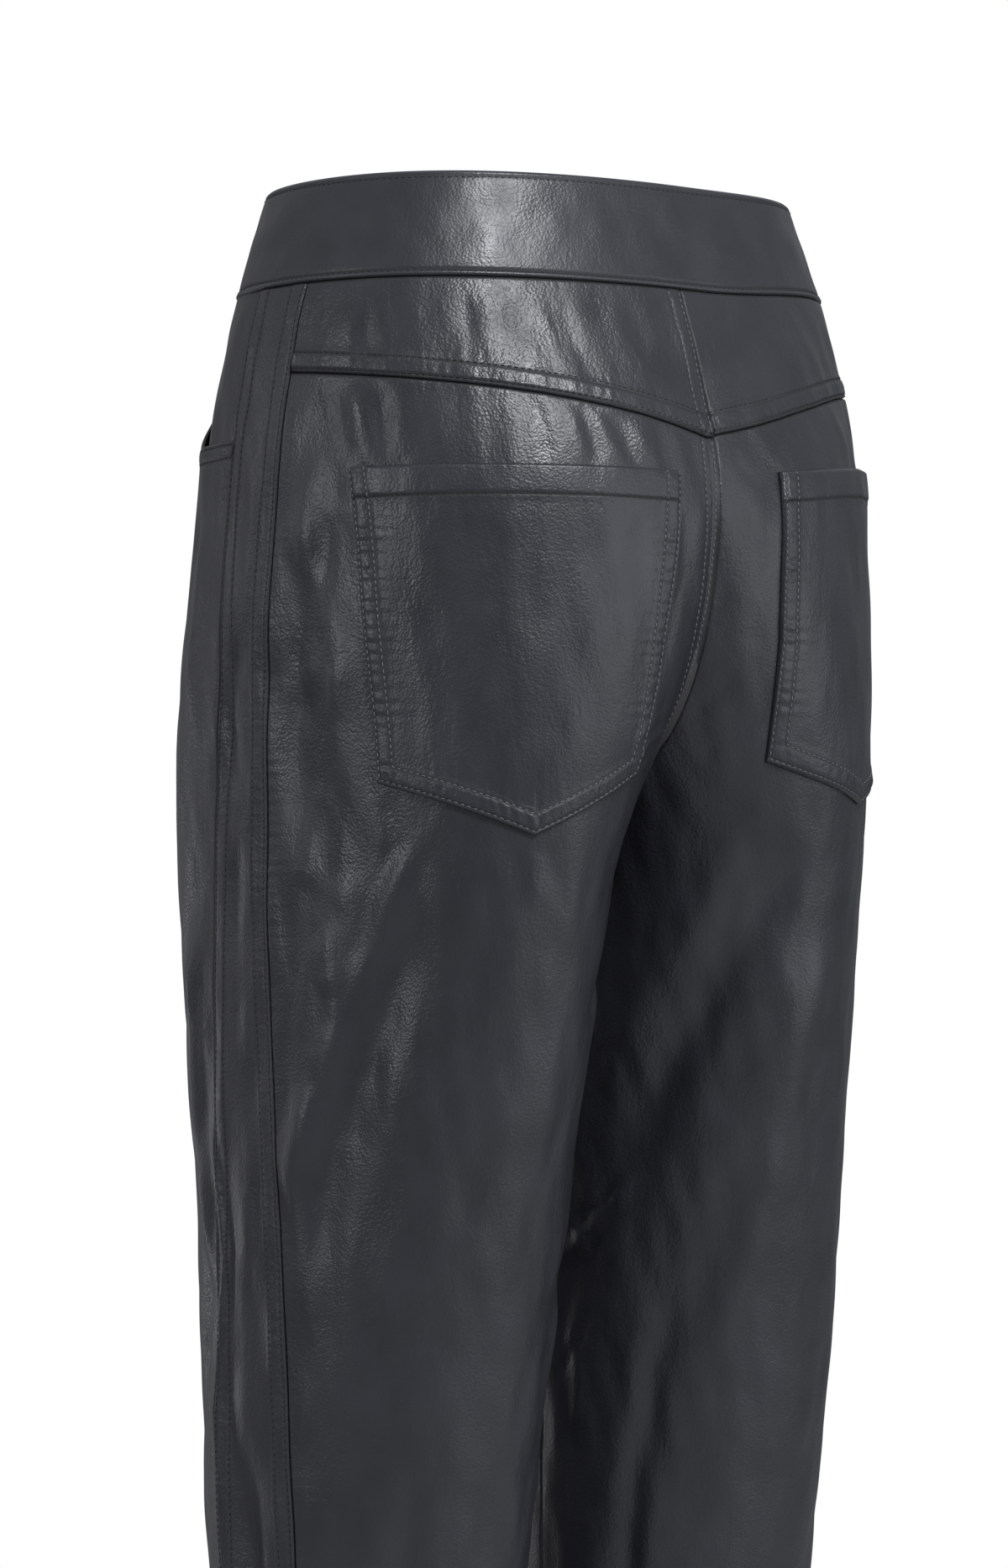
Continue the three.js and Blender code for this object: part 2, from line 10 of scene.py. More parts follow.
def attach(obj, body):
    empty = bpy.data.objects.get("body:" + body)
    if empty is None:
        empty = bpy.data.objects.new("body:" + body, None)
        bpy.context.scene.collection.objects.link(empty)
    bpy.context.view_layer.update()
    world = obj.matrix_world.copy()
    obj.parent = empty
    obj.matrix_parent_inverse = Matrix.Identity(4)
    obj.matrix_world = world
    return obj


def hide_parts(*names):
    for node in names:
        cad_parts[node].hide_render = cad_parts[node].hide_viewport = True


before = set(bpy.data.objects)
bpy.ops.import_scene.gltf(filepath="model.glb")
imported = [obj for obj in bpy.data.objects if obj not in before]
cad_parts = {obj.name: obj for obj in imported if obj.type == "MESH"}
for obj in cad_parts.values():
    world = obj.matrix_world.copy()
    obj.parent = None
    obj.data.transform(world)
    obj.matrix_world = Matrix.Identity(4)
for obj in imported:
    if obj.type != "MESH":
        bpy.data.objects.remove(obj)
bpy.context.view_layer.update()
print('frame loaded')

mm = 0.001
halfGap = 0.15  # half of the gap between two cut pieces

# The garment's half-section at a row of heights, in millimetres, as in the solid part.
# Angles go from 0 at the wearer's left side to 90 near the centre back and -90 near the front.
sectionColumns = ['z', 'axisX', 'outer', 'front', 'back', 'sideY', 'square', 'shear', 'outseam', 'sideSeam']
sectionRows = [
    [-1000, 86, 140, -66, 40, -8, 0, 0, 32, -15],
    [-800, 86, 147, -79, 46, -9, 0, 0, 28, -12],
    [-600, 86, 157, -95, 76, -8, 0, 0, 20, -13],
    [-450, 85, 159, -98, 103, -4, .005, -4, 10.5, -15],
    [-380, 84, 159, -100, 116, -4, .01, -8, 7, -14.5],
    [-312, 82, 159, -103, 128, -4, .015, -10, 5.5, -12.5],
    [-260, 71, 160, -106, 137.5, -4, .015, -10, 5.8, -10],
    [-200, 52, 162, -107, 141.5, -2, .015, -8, 6.2, -8.5],
    [-150, 35, 160, -107, 140, 0, .015, -4, 7, -9.5],
    [-100, 17, 158, -103, 128, 1, .015, -1, 9, -7],
    [-50, 0, 149.5, -88.5, 111.5, 1, .026, 0, 11.8, -6],
    [0, 0, 132.5, -84, 99, 0, .028, 0, 13, -6],
    [10, 0, 129.5, -83, 97, 0, .028, 0, 13, -6],
]

# How far the right hip is raised, at the side of the body.
riseColumns = ['z', 'rise']
riseRows = [[-560, 0], [-470, 1.5], [-330, 8], [-200, 9.5], [-100, 9.5], [-50, 7.5], [0, 3], [10, 2]]

# Angles of the back pockets' outer edge, point and inner edge, on each side.
pocketColumns = ['z', 'leftOuter', 'leftTip', 'leftInner', 'rightOuter', 'rightTip', 'rightInner']
pocketRows = [
    [-345, 38, 75, 116, 33, 72, 118],
    [-278, 33.5, 73.5, 107, 28, 69, 109],
    [-215, 29.5, 72, 99, 23.5, 65, 96],
    [-138, 24.8, 68, 92.8, 18, 61, 85],
    [-85, 23, 66, 90, 17, 59, 82],
]

# Folds of the leather: side is 1 for the left, -1 for the right, 0 for both. Each runs through
# three places, is width wide from its middle and stands out by depth.
foldColumns = ['side', 'angle1', 'z1', 'angle2', 'z2', 'angle3', 'z3', 'width', 'depth']
foldRows = [
    [1, 22, -150, 12, -230, 20, -330, 16, -3],
    [1, 20, -330, 26, -400, 15, -470, 15, 3.5],
    [1, 48, -330, 34, -420, 22, -520, 20, -3.5],
    [1, -24, -330, -30, -420, -18, -520, 14, 3.5],
    [1, -18, -520, -8, -640, -14, -800, 18, 3],
    [1, -2, -560, 4, -680, -4, -820, 17, -3],
    [1, 150, -320, 132, -360, 110, -390, 12, -3],
    [1, 158, -400, 140, -470, 128, -560, 18, 3],
    [1, 128, -480, 150, -560, 160, -650, 18, -3.5],
    [1, 60, -560, 66, -700, 58, -860, 26, -3],
    [1, 30, -620, 40, -740, 34, -880, 20, 3],
    [1, 100, -700, 92, -800, 104, -900, 22, 3],
    [-1, 98, -300, 126, -372, 152, -470, 24, -3.5],
    [-1, 84, -350, 104, -450, 118, -560, 24, 3],
    [-1, 20, -160, 12, -240, 18, -330, 16, -3],
    [-1, 132, -500, 142, -600, 150, -720, 16, -3],
    [-1, 24, -560, 30, -700, 22, -860, 22, -3],
    [-1, 64, -680, 72, -800, 60, -900, 24, 3],
    [0, -150, -330, -128, -300, -100, -290, 13, -3.5],
    [0, -152, -370, -120, -350, -84, -345, 14, 3],
    [0, -62, -240, -84, -280, -108, -300, 14, -3],
    [0, -44, -380, -58, -480, -50, -600, 24, -3],
    [0, -92, -430, -84, -560, -94, -700, 26, 3],
    [0, -60, -640, -70, -760, -58, -900, 24, 3],
    [0, -120, -560, -132, -680, -124, -820, 22, -3],
    [0, 60, -210, 64, -255, 60, -300, 26, .6],
]

# Smaller creases, in the same columns: under the yoke, on the yoke, round the pockets, on the
# side strips, down the legs, at the crotch, and on the sides that the photo hides.
creaseRows = [
    [1, 22, -100, 23, -120, 25, -138, 5, -.9],
    [1, 26, -98, 28, -122, 30, -142, 8, 1.4],
    [1, 19, -100, 20, -131, 22, -160, 8, -1],
    [1, 32, -100, 32, -121, 32, -138, 6, -.7],
    [1, 36, -104, 36, -124, 34, -138, 5, .4],
    [1, 62, -106, 64, -122, 65, -138, 4, -.5],
    [1, 67, -106, 70, -123, 72, -138, 4, .6],
    [1, 70, -108, 73, -124, 75, -138, 3.5, -.6],
    [1, 73, -110, 76, -125, 79, -138, 3.5, .6],
    [1, 76, -112, 80, -126, 83, -138, 4, -.6],
    [1, 80, -113, 83, -126, 86, -138, 4, .5],
    [1, 86, -115, 88, -127, 90, -138, 4, -.5],
    [1, 90, -118, 93, -130, 94, -142, 4, .4],
    [-1, 94, -116, 95, -130, 91, -145, 5, -.6],
    [-1, 88, -114, 85, -127, 82, -138, 5, .5],
    [-1, 80, -110, 75, -122, 68, -135, 5, -.5],
    [-1, 60, -103, 57, -118, 55, -132, 5, .6],
    [-1, 48, -100, 46, -117, 46, -131, 5, -.6],
    [-1, 36, -97, 34, -115, 33, -130, 6, .7],
    [-1, 28, -95, 27, -112, 24, -128, 5, -.7],
    [-1, 91, -140, 98, -170, 102, -205, 7, .6],
    [1, 50, -58, 50, -78, 50, -98, 3.2, -.35],
    [1, 54, -56, 53, -78, 55, -98, 3.2, .3],
    [1, 58, -60, 58, -80, 60, -100, 3.5, -.35],
    [1, 63, -60, 66, -80, 68, -100, 3.5, .4],
    [1, 68, -62, 70, -82, 73, -100, 3.5, -.35],
    [1, 40, -62, 38, -78, 36, -94, 5, .3],
    [1, 30, -60, 28, -76, 29, -92, 5, -.3],
    [-1, 62, -58, 60, -80, 58, -104, 5, .35],
    [-1, 70, -62, 72, -84, 70, -106, 5, -.3],
    [-1, 44, -56, 42, -76, 40, -96, 5, -.35],
    [-1, 30, -58, 28, -74, 30, -92, 5, .3],
    [1, 16, -130, 14, -176, 12, -226, 8, .9],
    [1, 21, -150, 20, -190, 18, -230, 6, -.8],
    [1, 23, -222, 22, -254, 25, -292, 7, .8],
    [1, 14, -232, 12, -268, 14, -302, 8, -.9],
    [1, 27, -320, 24, -354, 26, -380, 9, 1.4],
    [1, 19, -340, 22, -370, 26, -400, 8, -1.2],
    [1, 49, -290, 38, -338, 31, -385, 7, .8],
    [1, 39, -305, 34, -338, 29, -368, 7, -.8],
    [1, 14, -394, 19, -438, 16, -480, 8, .8],
    [1, 20, -396, 26, -438, 23, -480, 7, -.7],
    [1, 18, -480, 26, -534, 24, -590, 9, .8],
    [1, 14, -154, 20, -200, 25, -256, 9, 1.1],
    [1, 10, -166, 14, -215, 16, -262, 7, -1],
    [1, 20, -278, 18, -306, 15, -330, 8, 1],
    [1, 40, -308, 34, -350, 33, -396, 13, 1.2],
    [1, 25, -328, 23, -367, 21, -406, 9, -1],
    [1, 18, -416, 17, -458, 22, -504, 9, .9],
    [1, 65, -300, 73, -316, 80, -340, 6, .6],
    [1, 76, -308, 83, -322, 93, -348, 6, -.5],
    [1, 35, -286, 39, -308, 36, -334, 6, -.6],
    [1, -2, -100, 1, -158, 0, -215, 7, .8],
    [1, -2, -210, -6, -250, -4, -290, 8, -1],
    [1, -10, -190, -10, -226, -10, -270, 6, .8],
    [1, 2, -262, 0, -304, 2, -350, 6, .7],
    [1, -3, -300, -5, -354, -2, -405, 7, -.8],
    [1, -4, -405, 2, -458, -2, -510, 8, .7],
    [1, -24, -155, -22, -200, -26, -250, 7, .8],
    [1, -14, -182, -15, -234, -18, -285, 7, -.7],
    [1, -29, -348, -25, -392, -26, -440, 6, 1.2],
    [1, -18, -425, -10, -496, -15, -560, 5, 1.6],
    [1, -15, -545, -12, -600, -12, -680, 6, 1.3],
    [1, -28, -455, -22, -512, -29, -565, 7, -1.3],
    [1, 67, -316, 84, -384, 100, -460, 18, .8],
    [1, 90, -308, 94, -384, 96, -460, 16, .8],
    [1, 60, -345, 68, -420, 74, -500, 18, -.8],
    [1, 50, -400, 60, -458, 60, -540, 16, .7],
    [1, 36, -420, 41, -476, 42, -545, 14, -.7],
    [1, 84, -496, 98, -552, 103, -620, 16, .7],
    [-1, 150, -455, 164, -498, 174, -545, 14, -1.2],
    [-1, 176, -502, 162, -486, 145, -456, 8, 1.2],
    [-1, 174, -492, 160, -474, 148, -452, 7, -1.2],
    [-1, 174, -472, 165, -486, 161, -502, 5, .8],
    [-1, 174, -556, 165, -537, 160, -518, 7, -1],
    [-1, 167, -585, 164, -554, 169, -525, 7, .9],
    [-1, 137, -320, 146, -380, 156, -425, 9, .8],
    [-1, 97, -305, 121, -375, 158, -458, 24, -2.4],
    [-1, 82, -350, 108, -422, 134, -490, 26, 1.8],
    [-1, 115, -300, 136, -354, 157, -408, 18, 1.4],
    [-1, 89, -422, 106, -490, 117, -556, 20, 1],
    [-1, 112, -300, 120, -334, 126, -368, 8, -.7],
    [1, 99, -264, 103, -255, 111, -247, 3.5, .9],
    [1, 103, -271, 110, -262, 122, -253, 3.5, .9],
    [1, 110, -276, 118, -268, 126, -262, 3.5, .8],
    [1, 101, -258, 106, -251, 112, -243, 3, -.7],
    [1, 104, -267, 108, -260, 117, -252, 3, -.7],
    [1, 96, -148, 100, -192, 102, -235, 6, -.8],
    [1, 99, -140, 107, -190, 112, -230, 5, .6],
    [-1, 108, -226, 117, -238, 124, -250, 6, -1],
    [-1, 101, -212, 111, -227, 122, -242, 8, .8],
    [-1, 105, -246, 116, -257, 126, -268, 8, -.8],
    [-1, 12, -130, 10, -170, 13, -215, 8, .9],
    [-1, 6, -210, 9, -250, 5, -292, 8, -.9],
    [-1, 20, -300, 25, -345, 21, -395, 8, 1.1],
    [-1, 14, -360, 10, -410, 13, -455, 7, -.9],
    [-1, -14, -180, -18, -230, -15, -285, 7, .8],
    [-1, -20, -360, -26, -430, -21, -500, 7, 1.2],
    [-1, -6, -430, -1, -490, -6, -560, 7, -1],
    [-1, 30, -560, 36, -630, 30, -700, 10, .9],
    [1, -110, -262, -92, -250, -70, -246, 5, .9],
    [1, -114, -276, -94, -266, -66, -266, 5, -.9],
    [-1, -112, -268, -90, -256, -64, -258, 5, .9],
    [-1, -116, -284, -92, -276, -68, -280, 5, -.8],
    [1, -120, -300, -98, -296, -76, -302, 6, .9],
    [-1, -122, -306, -96, -304, -72, -296, 6, .8],
    [1, -50, -140, -54, -180, -60, -220, 7, .6],
    [-1, -46, -150, -52, -190, -58, -232, 7, .6],
    [1, 60, -684, 84, -694, 108, -688, 7, -.8],
    [1, 66, -712, 88, -722, 112, -714, 7, .8],
    [-1, 58, -690, 80, -702, 106, -694, 7, -.8],
    [-1, 64, -722, 90, -730, 110, -724, 7, .8],
    [0, 30, -900, 60, -912, 95, -905, 8, .9],
    [0, -150, -885, -110, -893, -70, -888, 8, -.8],
    [0, 100, -930, 140, -938, 178, -930, 7, .7],
    [0, -40, -915, -10, -924, 20, -918, 7, -.7],
]

heights = {
    'bandBottom': -50.5, 'scoopBottom': -120, 'legTop': -345, 'hemTurn': -970,
    'hem': -1000, 'facingBottom': -142, 'yokeAtSide': -92, 'yokeSlope': 20, 'yokePoint': 9,
}
leatherWall = {'body': 1.2, 'band': 2.4, 'hem': 2.4, 'under': 1.55}
crumple = {'seed': 11, 'waves': 30, 'short': 13, 'long': 48, 'size': .34}


def readTable(columns, rows):
    return {name: np.array([row[i] for row in rows], float) for i, name in enumerate(columns)}


def naturalCurve(xs, ys):  # the natural cubic spline through the table's places
    count, gap = len(xs), np.diff(xs)
    system, right = np.eye(count), np.zeros(count)
    for i in range(1, count - 1):
        system[i, i - 1:i + 2] = gap[i - 1], 2 * (gap[i - 1] + gap[i]), gap[i]
        right[i] = 6 * ((ys[i + 1] - ys[i]) / gap[i] - (ys[i] - ys[i - 1]) / gap[i - 1])
    bend = np.linalg.solve(system, right)

    def curve(x):
        x = np.asarray(x, float)
        i = np.clip(np.searchsorted(xs, x) - 1, 0, count - 2)
        a = (xs[i + 1] - x) / gap[i]
        b = 1 - a
        return a * ys[i] + b * ys[i + 1] + ((a ** 3 - a) * bend[i] + (b ** 3 - b) * bend[i + 1]) * gap[i] ** 2 / 6
    return curve


sections = readTable(sectionColumns, sectionRows)
section = {name: naturalCurve(sections['z'], sections[name]) for name in sectionColumns[1:]}
pocketTable = readTable(pocketColumns, pocketRows)
riseTable = readTable(riseColumns, riseRows)
hipRise = naturalCurve(riseTable['z'], riseTable['rise'])


def smoothStep(x, start, end):
    t = np.clip((x - start) / (end - start), 0, 1)
    return t * t * (3 - 2 * t)


def mix(a, b, share):
    return a + (b - a) * share


def wornHeight(onRight, x, z):  # heights with the right hip raised
    rise = np.where(z < riseRows[0][0], 0, hipRise(z))
    return z + np.where(onRight, rise * smoothStep(x, 15, 125), 0)


def ring(angle, z):  # a point of the plain section, before folds
    a = np.radians(angle)
    q = section['square'](z)
    back, front, axis = section['back'](z), section['front'](z), section['axisX'](z)
    middle = (back + front) / 2
    pull = (section['sideY'](z) - middle) / 2
    x = axis + (section['outer'](z) - axis) / (1 - q) * (np.cos(a) - q * np.cos(3 * a)) + section['shear'](z) * np.sin(a)
    y = middle + pull + (back - front) / 2 / (1 - q) * (np.sin(a) + q * np.sin(3 * a)) + pull * np.cos(2 * a)
    return np.stack(np.broadcast_arrays(x, y, np.asarray(z, float)), -1)


def ringNormal(angle, z):
    step = .5
    across = ring(angle + step, z) - ring(angle - step, z)
    up = ring(angle, z + step) - ring(angle, z - step)
    normal = np.cross(across, up)
    return normal / np.linalg.norm(normal, axis=-1, keepdims=True)


def inseamAngle(z):
    low, high = np.full_like(z, 150.), np.full_like(z, 200.)
    for _ in range(40):
        third = (high - low) / 3
        nearer = ring(low + third, z)[..., 0] < ring(high - third, z)[..., 0]
        low, high = np.where(nearer, low, low + third), np.where(nearer, high - third, high)
    return (low + high) / 2


def centreAngle(z, start, end):
    near, far = np.full_like(z, float(start)), end.copy()
    for _ in range(40):
        half = (near + far) / 2
        outside = ring(half, z)[..., 0] > halfGap
        near, far = np.where(outside, half, near), np.where(outside, far, half)
    return (near + far) / 2


def findCrotch():
    above, below = -260., -330.
    for _ in range(40):
        half = np.array([(above + below) / 2])
        if ring(inseamAngle(half), half)[0, 0] < halfGap:
            above = float(half[0])
        else:
            below = float(half[0])
    return (above + below) / 2


crotch = findCrotch()
crotchReach = 30
knots = np.unique(np.concatenate([
    np.linspace(-1004, crotch, 700),
    crotch + np.linspace(0, crotchReach ** .5, 300) ** 2,
    np.linspace(crotch + crotchReach, 10, 400),
]))
inner = inseamAngle(knots)
closed = ring(inner, knots)[:, 0] >= halfGap
backEnds = np.where(closed, inner, centreAngle(knots, 60, inner))
frontEnds = np.where(closed, inner - 360, centreAngle(knots, -60, inner - 360))
seamAngles = {
    'centreBack': backEnds, 'centreFront': frontEnds,
    'outseam': section['outseam'](knots), 'sideSeam': section['sideSeam'](knots),
}
print('shape solved, crotch at', round(crotch, 1))


class Chart:  # turns millimetres round the cloth from its first seam into an angle, at any height
    samples = 161

    def __init__(self, first, last):
        share = np.linspace(0, 1, self.samples)
        self.first, self.last = seamAngles[first], seamAngles[last]
        angles = self.first[:, None] + (self.last - self.first)[:, None] * share
        points = ring(angles, knots[:, None])
        steps = np.linalg.norm(np.diff(points, axis=1), axis=-1)
        run = np.concatenate([np.zeros((len(knots), 1)), np.cumsum(steps, axis=1)], axis=1)
        self.lengths = run[:, -1]
        self.shares = np.array([np.interp(share * row[-1], row, share) for row in run])

    def length(self, z):
        return np.interp(z, knots, self.lengths)

    def angle(self, distance, z):
        t = distance / self.length(z) * (self.samples - 1)
        k = np.interp(z, knots, np.arange(len(knots)))
        k0 = np.clip(k.astype(int), 0, len(knots) - 2)
        m0 = np.clip(t.astype(int), 0, self.samples - 2)
        k1, m1, fk1, fm1 = k0 + 1, m0 + 1, k - k0, t - m0
        share = mix(mix(self.shares[k0, m0], self.shares[k0, m1], fm1), mix(self.shares[k1, m0], self.shares[k1, m1], fm1), fk1)
        first, last = np.interp(z, knots, self.first), np.interp(z, knots, self.last)
        return first + share * (last - first)


charts = {
    'back': Chart('outseam', 'centreBack'),
    'strip': Chart('sideSeam', 'outseam'),
    'front': Chart('centreFront', 'sideSeam'),
}
foldScale = 100 * math.pi / 180


def foldHeight(side, angle, z, centreDistance):
    out = np.zeros(angle.shape)
    x, y = angle * foldScale, z
    for values in foldRows + creaseRows:
        row = dict(zip(foldColumns, values))
        if row['side'] not in (0, side):
            continue
        reach = row['width'] * 2.2
        spots = [(row[f'angle{i}'] * foldScale, row[f'z{i}']) for i in (1, 2, 3)]
        near = (z < max(s[1] for s in spots) + reach) & (z > min(s[1] for s in spots) - reach)
        if not near.any():
            continue
        best, along = np.full(angle.shape, 1e9), np.zeros(angle.shape)
        for part in (0, 1):
            (ax, ay), (bx, by) = spots[part], spots[part + 1]
            rx, ry = bx - ax, by - ay
            share = np.clip(((x - ax) * rx + (y - ay) * ry) / (rx * rx + ry * ry), 0, 1)
            away = np.hypot(x - ax - rx * share, y - ay - ry * share)
            along = np.where(away < best, (part + share) / 2, along)
            best = np.minimum(best, away)
        ends = smoothStep(along, 0, .22) * smoothStep(1 - along, 0, .22)
        out += near * row['depth'] * ends * np.exp(-(best / (row['width'] * .6)) ** 2)
    return out * smoothStep(centreDistance, 0, 16)


def softWaves(points, seed, waves, short, long, tall=2.2):  # smooth noise from -1 to 1, longer up and down
    dice = np.random.default_rng(seed)
    total = np.zeros(points.shape[:-1])
    for _ in range(waves):
        direction = dice.normal(size=3)
        direction /= np.linalg.norm(direction)
        length = short * (long / short) ** dice.random()
        total += np.sin(points @ (direction * [1, 1, 1 / tall]) * (2 * math.pi / length) + dice.random() * 2 * math.pi)
    return total / math.sqrt(waves / 2)


def skin(side, chart, distance, z, lift, rough=1):  # points of the worn cloth, in millimetres
    length = chart.length(z)
    past = np.zeros(z.shape, bool)
    if chart is charts['back']:
        past = distance > length
        distance = np.where(past, 2 * length - distance, distance)
    if chart is charts['front']:
        past = distance < 0
        distance = np.abs(distance)
    angle = chart.angle(distance, z)
    onLeg = past & (z < crotch)  # past the inseam, the cloth goes on round the same leg
    end = np.interp(z, knots, chart.last if chart is charts['back'] else chart.first)
    angle = np.where(onLeg, 2 * end - angle, angle)
    past = past & ~onLeg
    base, normal = ring(angle, z), ringNormal(angle, z)
    centreDistance = np.where(z > heights['legTop'], base[..., 0], 16)
    place = base * [side, 1, 1]
    place[..., 0] *= np.where(past, -1, 1)
    waves = softWaves(place, crumple['seed'], crumple['waves'], crumple['short'], crumple['long'])
    calm = smoothStep(-z, 45, 75) * (1 - .5 * smoothStep(-z, 930, 960))
    out = foldHeight(side, angle, z, centreDistance) + waves * crumple['size'] * rough * calm + lift
    points = base + normal * out[..., None]
    points[..., 0] = np.maximum(points[..., 0], halfGap)
    free = smoothStep(-z, 240, 270) * (1 - smoothStep(-z, 940, 960))
    points[..., 2] = wornHeight(side < 0, base[..., 0], z) + normal[..., 2] * out * free
    points[..., 0] *= side * np.where(past, -1, 1)
    return points


def bridge(faces, outerLine, innerLine, picks, turn):  # joins a fine edge to a coarse one
    for k in range(len(picks) - 1):
        a, b = picks[k], picks[k + 1]
        half = (a + b) // 2
        fans = [(outerLine[j], outerLine[j + 1], innerLine[k]) for j in range(a, half)]
        fans.append((outerLine[half], innerLine[k + 1], innerLine[k]))
        fans += [(outerLine[j], outerLine[j + 1], innerLine[k + 1]) for j in range(half, b)]
        faces += [f[::-1] if turn else f for f in fans]


def pickEvery(values, spacing):  # places along a fine row that a coarser one keeps
    picks = [0]
    for i in range(1, len(values)):
        if i == len(values) - 1 or abs(values[i + 1] - values[picks[-1]]) > spacing:
            picks.append(i)
    return picks


def clothMesh(name, outside, inside, rowPicks, columnPicks, side, materials, marks=None):
    rows, columns = outside.shape[0] - 1, outside.shape[1] - 1
    stride, fewStride = columns + 1, len(columnPicks)
    start = (rows + 1) * stride
    grid = np.arange(start).reshape(rows + 1, stride)
    few = start + np.arange(len(rowPicks) * fewStride).reshape(len(rowPicks), fewStride)
    outerFaces = np.stack([grid[:-1, :-1], grid[1:, :-1], grid[1:, 1:], grid[:-1, 1:]], -1).reshape(-1, 4)
    innerFaces = np.stack([few[:-1, :-1], few[:-1, 1:], few[1:, 1:], few[1:, :-1]], -1).reshape(-1, 4)
    flip = side < 0
    if flip:
        outerFaces, innerFaces = outerFaces[:, ::-1], innerFaces[:, ::-1]
    rim = []
    bridge(rim, grid[0], few[0], columnPicks, flip)
    bridge(rim, grid[-1], few[-1], columnPicks, not flip)
    bridge(rim, grid[:, 0], few[:, 0], rowPicks, not flip)
    bridge(rim, grid[:, -1], few[:, -1], rowPicks, flip)
    points = np.concatenate([outside.reshape(-1, 3), inside.reshape(-1, 3)]) * mm
    mesh = bpy.data.meshes.new(name)
    mesh.from_pydata(points.tolist(), [], outerFaces.tolist() + [tuple(int(v) for v in f) for f in rim] + innerFaces.tolist())
    mesh.polygons.foreach_set('use_smooth', np.ones(len(mesh.polygons), bool))
    insideIndex = np.zeros(len(mesh.polygons), np.int32)
    insideIndex[len(outerFaces) + len(rim):] = 1
    for material in materials:
        mesh.materials.append(material)
    mesh.polygons.foreach_set('material_index', insideIndex)
    mesh.set_sharp_from_angle(angle=math.radians(58))
    # Per-vertex marks: pale wear above nought, painted shade below nought.
    wearAndShade = np.zeros(len(points), np.float32)
    if marks is not None:
        wearAndShade[:start] = marks.reshape(-1)
    mesh.attributes.new('wearAndShade', 'FLOAT', 'POINT').data.foreach_set('value', wearAndShade)
    mesh.update()
    piece = bpy.data.objects.new(name, mesh)
    bpy.context.scene.collection.objects.link(piece)
    trees[name] = BVHTree.FromPolygons((outside.reshape(-1, 3)).tolist(), outerFaces.tolist())
    return piece


trees = {}  # the outer face of each piece, for laying stitches on it
threadRows = []  # rows of stitching: the piece that carries it, its thread and its line


def firstCrossing(field, points, level):  # in each line, where the field first reaches a level
    found, where = [], []
    for n, (values, line) in enumerate(zip(field, points)):
        j = int(np.argmax(values >= level))
        if j > 0:
            found.append(mix(line[j - 1], line[j], (level - values[j - 1]) / (values[j] - values[j - 1])))
            where.append((n, j))
    return np.array(found), where


# Leather, thread and metal.
def makeNodes(name):
    material = bpy.data.materials.new(name)
    material.use_nodes = True
    nodes, links = material.node_tree.nodes, material.node_tree.links
    return material, nodes, links, nodes['Principled BSDF']


leatherLook = {
    'grainMm': 1.2, 'grainHeightMm': .14, 'streakMm': 3, 'streakHeightMm': .2, 'creaseMm': 13, 'creaseHeightMm': .5,
    # 'worn' is the pale wear colour; 'sunk' is the painted shade colour for grooves, folded-edge corners, thread rows
    # and beside overlying edges.
    'dark': (.0155, .0162, .0205, 1), 'light': (.024, .025, .031, 1), 'worn': (.046, .049, .056, 1), 'sunk': (.004, .0042, .005, 1),
    'shine': (.33, .45), 'shineLevel': .55,
}
bandLook = {**leatherLook, 'grainHeightMm': .1, 'streakHeightMm': .12, 'creaseHeightMm': .3}


